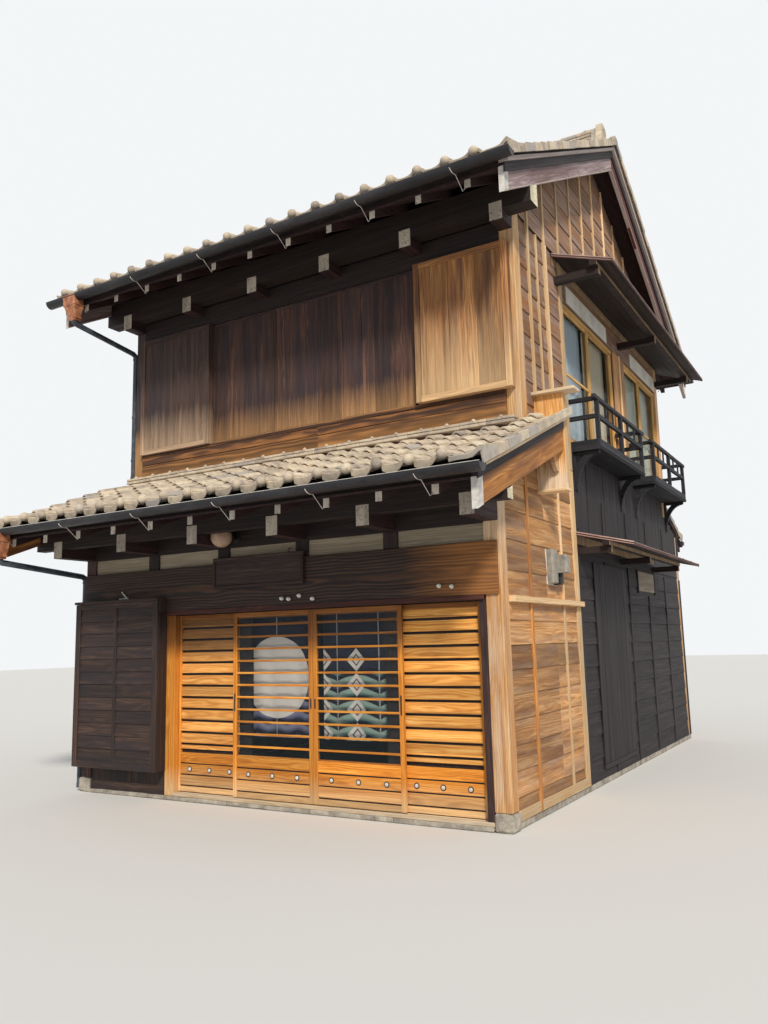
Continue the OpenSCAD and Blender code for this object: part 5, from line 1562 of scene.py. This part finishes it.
def hanging(name, place, wide, tall, top, waves, deep, finish, replaces=()):
    """A cloth that hangs in shallow folds from a level. place(s, z, out) takes s from 0 to wide."""
    across, down = 72, 40
    share = np.linspace(0, 1, across + 1)
    fold = np.array([sin(2 * pi * waves * u) + 0.4 * sin(2 * pi * (waves * 1.7 * u + 0.3)) for u in share])
    flare = [0.35 + 0.65 * v for v in np.linspace(0, 1, down + 1)]
    front, rear = [], []
    for j, v in enumerate(np.linspace(0, 1, down + 1)):
        z = top - v * tall
        front.append([place(u * wide, z, deep * flare[j] * f) for u, f in zip(share, fold)])
        rear.append([place(u * wide, z, deep * flare[j] * f - 0.0015) for u, f in zip(share, fold)])
    points = np.array(front + rear, float).reshape(-1, 3)
    n, m = down + 1, across + 1
    faces = []
    for i in range(down):
        for k in range(across):
            faces.append((m * i + k, m * i + m + k, m * i + m + k + 1, m * i + k + 1))
            base = m * n
            faces.append((base + m * i + k, base + m * i + k + 1, base + m * i + m + k + 1,
                          base + m * i + m + k))
    for i in range(down):
        faces.append((m * i, m * n + m * i, m * n + m * i + m, m * i + m))
        faces.append((m * i + m - 1, m * i + 2 * m - 1, m * n + m * i + 2 * m - 1, m * n + m * i + m - 1))
    for k in range(across):
        faces.append((k, k + 1, m * n + k + 1, m * n + k))
        low = m * (n - 1)
        faces.append((low + k, m * n + low + k, m * n + low + k + 1, low + k + 1))
    if outward(points - points.mean(axis=0), faces) < 0:
        faces = [face[::-1] for face in faces]
    flat = np.array([(u * wide, top - v * tall, 0.0) for v in np.linspace(0, 1, n) for u in share])
    pile = Pile()
    pile.add(points, faces, grain=np.concatenate([flat, flat]), tone=0.5)
    obj = piece(name, pile, finish, replaces, smooth=60)
    steps = np.linalg.norm(np.diff(np.array(front[n // 2]), axis=0), axis=1).sum()
    return obj


def linen(name, shade):
    """Plain woven cloth."""
    f = Finish(name, 0.85)
    grain = f.attribute("grain")["Vector"]
    weave = f.noise(f.stretch(grain, 500, 500, 1), 1.0, 2)
    thread = f.noise(f.stretch(grain, 6, 260, 1), 1.0, 3)
    base = f.shade(shade, f.span(f.add(weave, thread), 0.6, 1.4, 0.86, 1.05))
    f.done(base, f.bump(f.add(weave, thread), 0.3, 0.001))


def curtains():
    """Thin curtains behind the side and rear windows."""
    linen("curtain_linen", (224, 214, 186))
    linen("curtain_blue", (196, 214, 224))
    linen("curtain_green", (206, 214, 192))
    tall = WINDOW_HEAD - WINDOW_SILL - 0.075
    for i, (s0, s1, waves, finish) in enumerate(((2.10, 3.00, 5, "blue"), (3.08, 3.97, 5, "linen"),
                                                 (4.60, 6.25, 9, "green"))):
        def place(s, z, out, s0=s0):
            return np.array((-0.130 + out, s0 + s, z))
        hanging("curtain_side_" + str(i + 1), place, s1 - s0, tall, WINDOW_HEAD - 0.012, waves, 0.012,
                "curtain_" + finish)
    x0, x1 = line_x(3) + POST / 2 + 0.03, line_x(1) - POST / 2 - 0.03
    for i, (face, head) in enumerate(((HOUSE_D - 0.110, 1.855), (UPPER_END - 0.110, 4.632))):
        def place(s, z, out, face=face):
            return np.array((x0 + s, face - 0.025 + out, z))
        hanging("curtain_rear_" + str(i + 1), place, x1 - x0, 0.94, head, 10, 0.012, "curtain_linen")


def printed_cloth(name, moon):
    """An indigo hanging of two widths, with bands like waves under a pale round moon, or with rows of
    pale lozenges over bowed bands."""
    f = Finish(name, 0.85)
    grain = f.attribute("grain")["Vector"]
    s = f.part(grain, 0)
    z = f.part(grain, 1)
    weave = f.noise(f.stretch(grain, 420, 420, 1), 1.0, 2)
    clouds = f.noise(f.stretch(grain, 5, 5, 1), 1.0, 4)
    dark = f.mix(clouds, (18, 20, 36), (34, 40, 62))
    pale = f.mix(clouds, (214, 211, 206), (240, 236, 228))
    seam, width, band = (0.415, 0.440, 0.112) if moon else (0.158, 0.456, 0.1125)
    bow, ripple = (0.25, 0.014) if moon else (1.15, 0.002)
    middle = (128, 130, 158), (60, 66, 96)
    if not moon:
        middle = (150, 178, 168), (44, 84, 92)
    along = f.minus(f.modulo(f.add(s, 10 * width - seam), width), width / 2)
    rise = f.times(f.times(along, along), bow)
    swell = f.times(f.math("SINE", f.times(s, 26.0)), ripple)
    height = f.add(z, f.add(rise, swell))
    phase = f.modulo(f.math("DIVIDE", height, band), 1.0)
    bands = f.ramp(phase, (0.0, (20, 22, 40)), (0.28, (20, 22, 40)), (0.36, middle[1]), (0.70, middle[0]),
                   (0.96, middle[0]), (1.0, (20, 22, 40)))
    cloth = f.mix(f.less(z, 1.16 if moon else 1.26), dark, bands)
    near = f.size(f.minus(f.size(along), width / 2))
    cloth = f.mix(f.less(near, 0.006), cloth, f.mix(0.5, dark, pale))
    if moon:
        du = f.minus(s, 0.415)
        dv = f.minus(z, 1.22)
        far = f.math("SQRT", f.add(f.times(du, du), f.times(dv, dv)))
        cloth = f.mix(f.less(far, 0.392), cloth, pale)
    else:
        for centre in (0.0, 0.365, 0.80):
            du = f.size(f.minus(s, centre))
            dv = f.size(f.add(f.modulo(f.add(z, 9.987), 0.225), -0.1125))
            spread = f.add(f.times(du, 1.05), dv)
            diamond = f.less(spread, 0.108)
            heart = f.less(f.size(f.minus(spread, 0.050)), 0.009)
            printed = f.times(diamond, f.less(z, 1.50))
            cloth = f.mix(printed, cloth, f.mix(heart, pale, (84, 90, 104)))
    base = f.shade(cloth, f.span(weave, 0.3, 0.7, 0.9, 1.05))
    f.done(base, f.bump(weave, 0.3, 0.001))


def door_cloths():
    """Two cloths that hang behind the glazed doors."""
    low, high = street_box("door_cloths")
    wide = 0.880
    for name, x0, moon in (("moon_cloth", low[0], True), ("lozenge_cloth", high[0] - wide, False)):
        def place(s, z, out, x0=x0):
            return np.array((x0 + s, low[1] + 0.012 + out, z))
        printed_cloth(name + "_print", moon)
        hanging(name, place, wide, 1.250, high[2], 3, 0.008, name + "_print",
                ["door_cloths"])


# Side roofs and balconies

def side_roof(name, node, thick):
    """A light roof of metal sheets over boards that falls outwards from the wall."""
    (_, y0, foot), (reach, y1, top) = street_box(node)
    fall = (top - thick - foot) / reach
    pile = Pile()

    def at(x, up):
        return top - fall * x + up

    def strip(inset, end, ya, yb, low_up, high_up, deep, out, **more):
        """A board that runs from near the wall to near the outer edge."""
        plank(pile, (reach - inset, ya, at(reach, low_up)), (end, ya, at(0, low_up)),
              (reach - inset, yb, at(reach, high_up)), (end, yb, at(0, high_up)), deep, out, **more)

    count = round((y1 - y0) / 0.455)
    step = (y1 - y0) / count
    for i in range(count):
        a = y0 + i * step
        strip(0.001, 0.001, a + 0.002, a + step - 0.002, -0.006, -0.006, 0.006, UP, chamfer=0.001)
    for i in range(count + 1):
        y = y0 + i * step + (0.008 if i == 0 else -0.008 if i == count else 0)
        strip(0.002, 0.001, y - 0.008, y + 0.008, 0.0, 0.0, 0.012, UP, chamfer=0.002)
    rows = 5
    for i in range(rows):
        a, b = (0.002 + k * (reach - 0.02) / rows for k in (i, i + 1))
        plank(pile, (b, y0 + 0.012, at(b, -0.012)), (b, y1 - 0.012, at(b, -0.012)),
              (a + 0.002, y0 + 0.012, at(a, -0.012)), (a + 0.002, y1 - 0.012, at(a, -0.012)), thick - 0.014,
              UP, slot=1)
    # Slot 3, the thin pale strips on the edges, is painted highlight
    edges = ((-thick, -0.007, 0.0, 0.012, 2), (-0.014, -0.002, 0.004, 0.010, 3),
             (-0.036, -0.026, 0.003, 0.008, 3))
    for side, face in ((-1, y0), (1, y1)):
        for low_up, high_up, proud, deep, slot in edges:
            y = face + side * proud
            strip(0.0, 0.0, y, y, low_up, high_up, deep, BACK * side, slot=slot)
    for low_up, high_up, slot in ((-thick, -0.013, 2), (-0.012, -0.005, 3)):
        plank(pile, (reach, y0, at(reach, low_up)), (reach, y1, at(reach, low_up)),
              (reach, y0, at(reach, high_up)), (reach, y1, at(reach, high_up)), 0.014, RIGHT, slot=slot)
    piece(name, pile, "sheet_metal beam_boards canopy_wood pink_edge", [node])


def balcony(pile, y0):
    """A deep board base, posts and rails with long ends, and curved brackets."""
    y1 = y0 + 1.880
    reach, rail, horn = 0.310, 0.045, 0.090
    sill, base, top, mid = WINDOW_SILL, 3.490, 4.070, 3.875
    front = reach - rail
    bar(pile, reach - 0.032, reach, y0, y1, base, sill, "y", wobble=0.001)
    for y in (y0, y1 - 0.032):
        bar(pile, WALL_X, reach - 0.032, y, y + 0.032, base, sill, "x", wobble=0.001)
    for i in range(3):
        a = WALL_X + i * (reach - 0.032 - WALL_X) / 3
        bar(pile, a, a + (reach - 0.032 - WALL_X) / 3 - 0.006, y0 + 0.032, y1 - 0.032, sill - 0.028,
            sill - 0.006, "y", wobble=0.001)
    bar(pile, reach - 0.002, reach + 0.008, y0 - 0.004, y1 + 0.004, base + 0.020, base + 0.034, "y")
    bar(pile, WALL_X, reach - 0.032, y0 + 0.032, y1 - 0.032, base + 0.002, base + 0.020, "y")
    bar(pile, front, reach, y0 - horn, y1 + horn, top - rail, top, "y", chamfer=0.006, wobble=0.001)
    posts = [y0, (y0 + y1 - rail) / 2, y1 - rail]
    for y in posts:
        bar(pile, front, reach, y, y + rail, sill + 0.001, top - rail, "z", wobble=0.0008)
    for a, b in zip(posts, posts[1:]):
        bar(pile, front + 0.004, reach - 0.004, a + rail, b, mid - rail, mid, "y", wobble=0.0008)
        for i in (1, 2):
            y = a + rail + (b - a - rail) * i / 3
            bar(pile, front + 0.012, reach - 0.012, y - 0.012, y + 0.012, mid, top - rail, "z")
    for y in (posts[0], posts[2]):
        wall = 0.0 if y + rail > UPPER_END - POST else WALL_X
        for z in (top - rail, mid - rail):
            bar(pile, wall, front, y, y + rail, z, z + rail, "x", wobble=0.0008)
    foot = base - 0.420
    for y in (y0 + 0.045, y1 - 0.090):
        wall = 0.0 if y + 0.07 > UPPER_END - POST else WALL_X
        far_x, rise = reach - 0.040, 0.380
        arc = [(far_x - (far_x - 0.020) * cos(radians(a)), foot + rise * sin(radians(a)))
               for a in range(0, 91, 9)]
        back = [(max(wall + 0.028, p - 0.046), min(q + 0.046, base - 0.030)) for p, q in arc]
        outline = arc + back[::-1]

        def place(s, t, depth, y=y):
            return s, y + depth, t
        sawn(pile, outline, place, 0.0, 0.045)
        bar(pile, wall, wall + 0.030, y - 0.004, y + 0.049, foot - 0.004, base, "z", wobble=0.0008)
        bar(pile, wall + 0.030, reach - 0.034, y - 0.002, y + 0.047, base - 0.034, base, "x", wobble=0.0008)


def balconies():
    """The two balconies before the side windows."""
    low, high = street_box("balconies")
    pile = Pile()
    for y0 in (low[1] + 0.090, high[1] - 0.090 - 1.880):
        balcony(pile, y0)
    piece("balcony_wood", pile, "black_wood", ["balconies"])


def verge_box():
    """The board box that closes the upper end of the right verge, with a curved bracket and a cap."""
    low, high = street_box("verge_box")
    y0, y1 = TAIL_Y + 0.001, TAIL_Y + 0.100
    x0, x1 = WALL_X, 0.2825
    z0, z1 = low[2], 3.830
    pile = Pile()
    width = (x1 - x0) / 2
    for i in range(2):
        bar(pile, x0 + i * width + 0.001, x0 + (i + 1) * width - 0.001, y0, y0 + 0.030, z0 + 0.02, z1, "z",
            wobble=0.001)
    bar(pile, x1 - 0.030, x1, y0 + 0.002, y1, z0 + 0.012, z1, "z", wobble=0.001, slot=1)
    bar(pile, x0, x1 - 0.030, y0 + 0.030, y1, z0 + 0.012, z1, "z")
    bar(pile, x0, x1 + 0.006, y0 - 0.010, y1 + 0.004, z0, z0 + 0.030, "x", slot=1, chamfer=0.006)
    curve = [(0.0, 0.0), (0.0, -0.20)]
    curve += [(-0.16 * sin(radians(a)), -0.20 * cos(radians(a))) for a in range(10, 91, 10)]

    def place(s, t, depth):
        return x1 - 0.07 - depth, y0 + s, pent_under(TAIL_Y) - 0.06 + t * 1.4
    sawn(pile, curve, place, 0.0, 0.040)
    bar(pile, x0, high[0], low[1], high[1], z1 + 0.001, high[2], "x", chamfer=0.006, wobble=0.001, slot=2)
    piece("verge_end_box", pile, "verge_box_wood batten_wood sill_wood", ["verge_box"])


# Fittings

def signboard():
    """A bare board in a plain frame, hung before the lintel."""
    (x0, y0, z0), (x1, y1, z1) = street_box("signboard")
    pile = Pile()
    rim = 0.030
    bar(pile, x0 + rim, x1 - rim, y0 + 0.012, y1, z0 + rim, z1 - rim, "x", wobble=0.0008)
    for z in (z0, z1 - rim):
        bar(pile, x0, x1, y0, y1, z, z + rim, "x", chamfer=0.006)
    for x in (x0, x1 - rim):
        bar(pile, x, x + rim, y0, y1, z0 + rim, z1 - rim, "z", chamfer=0.006)
    for x in (x0 + 0.18, x1 - 0.18):
        tube(pile, [(x, y0 + 0.02, z1), (x, y0 + 0.02, z1 + 0.03), (x, y1 + 0.02, z1 + 0.045)], 0.005, 6,
             slot=1)
    piece("bare_signboard", pile, "sign_wood iron", ["signboard"])


def lamp():
    """A milky globe on a short arm."""
    f = Finish("lamp_globe", 0.35)
    stains = f.noise(f.place(), 16, 5, 0.6)
    f.set("Transmission Weight", 0.25)
    f.set("IOR", 1.4)
    f.done(f.ramp(stains, (0.35, (170, 138, 116)), (0.65, (206, 178, 154))), None,
           f.span(stains, 0.3, 0.7, 0.3, 0.5))
    (x0, y0, z0), (x1, y1, z1) = street_box("lamp")
    radius = 0.105
    centre = np.array(((x0 + x1) / 2, y0 + radius, (z0 + z1) / 2))
    pile = Pile()
    ball(pile, centre, radius, 32)
    lathe(pile, centre, BACK, [(radius * 0.86, 0.046), (radius * 0.9, 0.052), (radius + 0.02, 0.052),
                               (radius + 0.028, 0.034), (radius + 0.05, 0.022),
                               (y1 - centre[1] - 0.018, 0.020), (y1 - centre[1] - 0.014, 0.050),
                               (y1 - centre[1], 0.052)], 24, slot=1)
    piece("globe_lamp", pile, "lamp_globe iron", ["lamp"], smooth=40)


def meter_box():
    """Three joined cases on a board, one with a round window."""
    (x0, y0, z0), (x1, y1, z1) = street_box("meter_box")
    pile = Pile()
    bar(pile, x0, x0 + 0.02, y0, y1, z0, z1, "z", chamfer=0.004, slot=1)
    long = y1 - y0
    deep = x1 - x0

    def box(ya, yb, za, zb, out_to, slot=0):
        """A case with rounded front edges that stands out from the board to out_to."""
        edge = 0.014
        rings = []
        for out, inset in ((0.018, 0.004), (out_to - edge, 0.004),
                           (out_to - edge * 0.3, 0.004 + edge * 0.35), (out_to, 0.004 + edge)):
            x = x0 + out
            rings.append([(x, ya + inset, za + inset), (x, yb - inset, za + inset),
                          (x, yb - inset, zb - inset), (x, ya + inset, zb - inset)])
        pile.loft(rings, slot=slot)
    box(y0, y0 + 0.60 * long, z0 + 0.01, z1, 0.48 * deep)
    box(y0 + 0.46 * long, y1, z0 + 0.11, z1 - 0.05, deep)
    box(y0 + 0.62 * long, y1 - 0.02, z0, z0 + 0.12, 0.62 * deep, 3)
    centre = (x1 - 0.002, y0 + 0.73 * long, z1 - 0.135)
    lathe(pile, centre, RIGHT, [(-0.02, 0.050), (0.0, 0.050), (0.001, 0.044), (-0.004, 0.040)], 24)
    lathe(pile, (x1 - 0.005, centre[1], centre[2]), RIGHT, [(-0.01, 0.039), (0.0, 0.039)], 24, slot=2)
    for y in (y0 + 0.50 * long, y1 - 0.02):
        for z in (z0 + 0.13, z1 - 0.07):
            lathe(pile, (x1 - 0.003, y, z), RIGHT, [(-0.004, 0.006), (0.002, 0.006), (0.003, 0.002)], 8,
                  slot=1)
    dial = Finish("meter_window", 0.08)
    dial.done(dial.mix(dial.noise(dial.place(), 30), (70, 78, 82), (104, 112, 114)))
    piece("meter_cases", pile, "meter_plastic pale_metal meter_window iron", ["meter_box"],
          smooth=25)


def kept_nodes():
    """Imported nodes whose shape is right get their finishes."""
    kept = (("floor_wood", "ground_floor upper_floor"),
            ("inner_wall", "lower_right_wall left_wall rear_wall upper_right_wall right_gable"),
            ("beam_x", "roof_beams front_beams upper_front_head"), ("beam_y", "roof_boards"),
            ("rafter_wood", "rafters arms"), ("purlin_wood", "eave_purlins"),
            ("side_frame_wood", "side_roof_frames"), ("panel_wood", "transom_panels"),
            ("gutter_metal", "gutters"))
    for finish, nodes in kept:
        for node in nodes.split():
            dress(node, finish)


bpy.context.scene.view_settings.view_transform = "Standard"
add_camera()
add_lights()
add_floor()
kept_nodes()
foundation()
corner_posts()
threshold()
front_lintel()
bay_wall()
lower_shutter_box()
for door_side in ("right", "left"):
    sliding_door(door_side, True)
    sliding_door(door_side, False)
upper_posts()
skirt()
upper_shutter_boxes()
rain_shutters()
right_cladding()
gable_boards()
side_battens()
left_cladding()
rear_cladding()
window_frames()
curtains()
door_cloths()
roof_tiles()
roof_ridge()
bargeboards()
gutter_fittings()
downpipes()
side_roof("canopy_sheets", "side_canopy", 0.045)
side_roof("lean_to_sheets", "lean_to_roof", 0.040)
balconies()
verge_box()
signboard()
lamp()
meter_box()
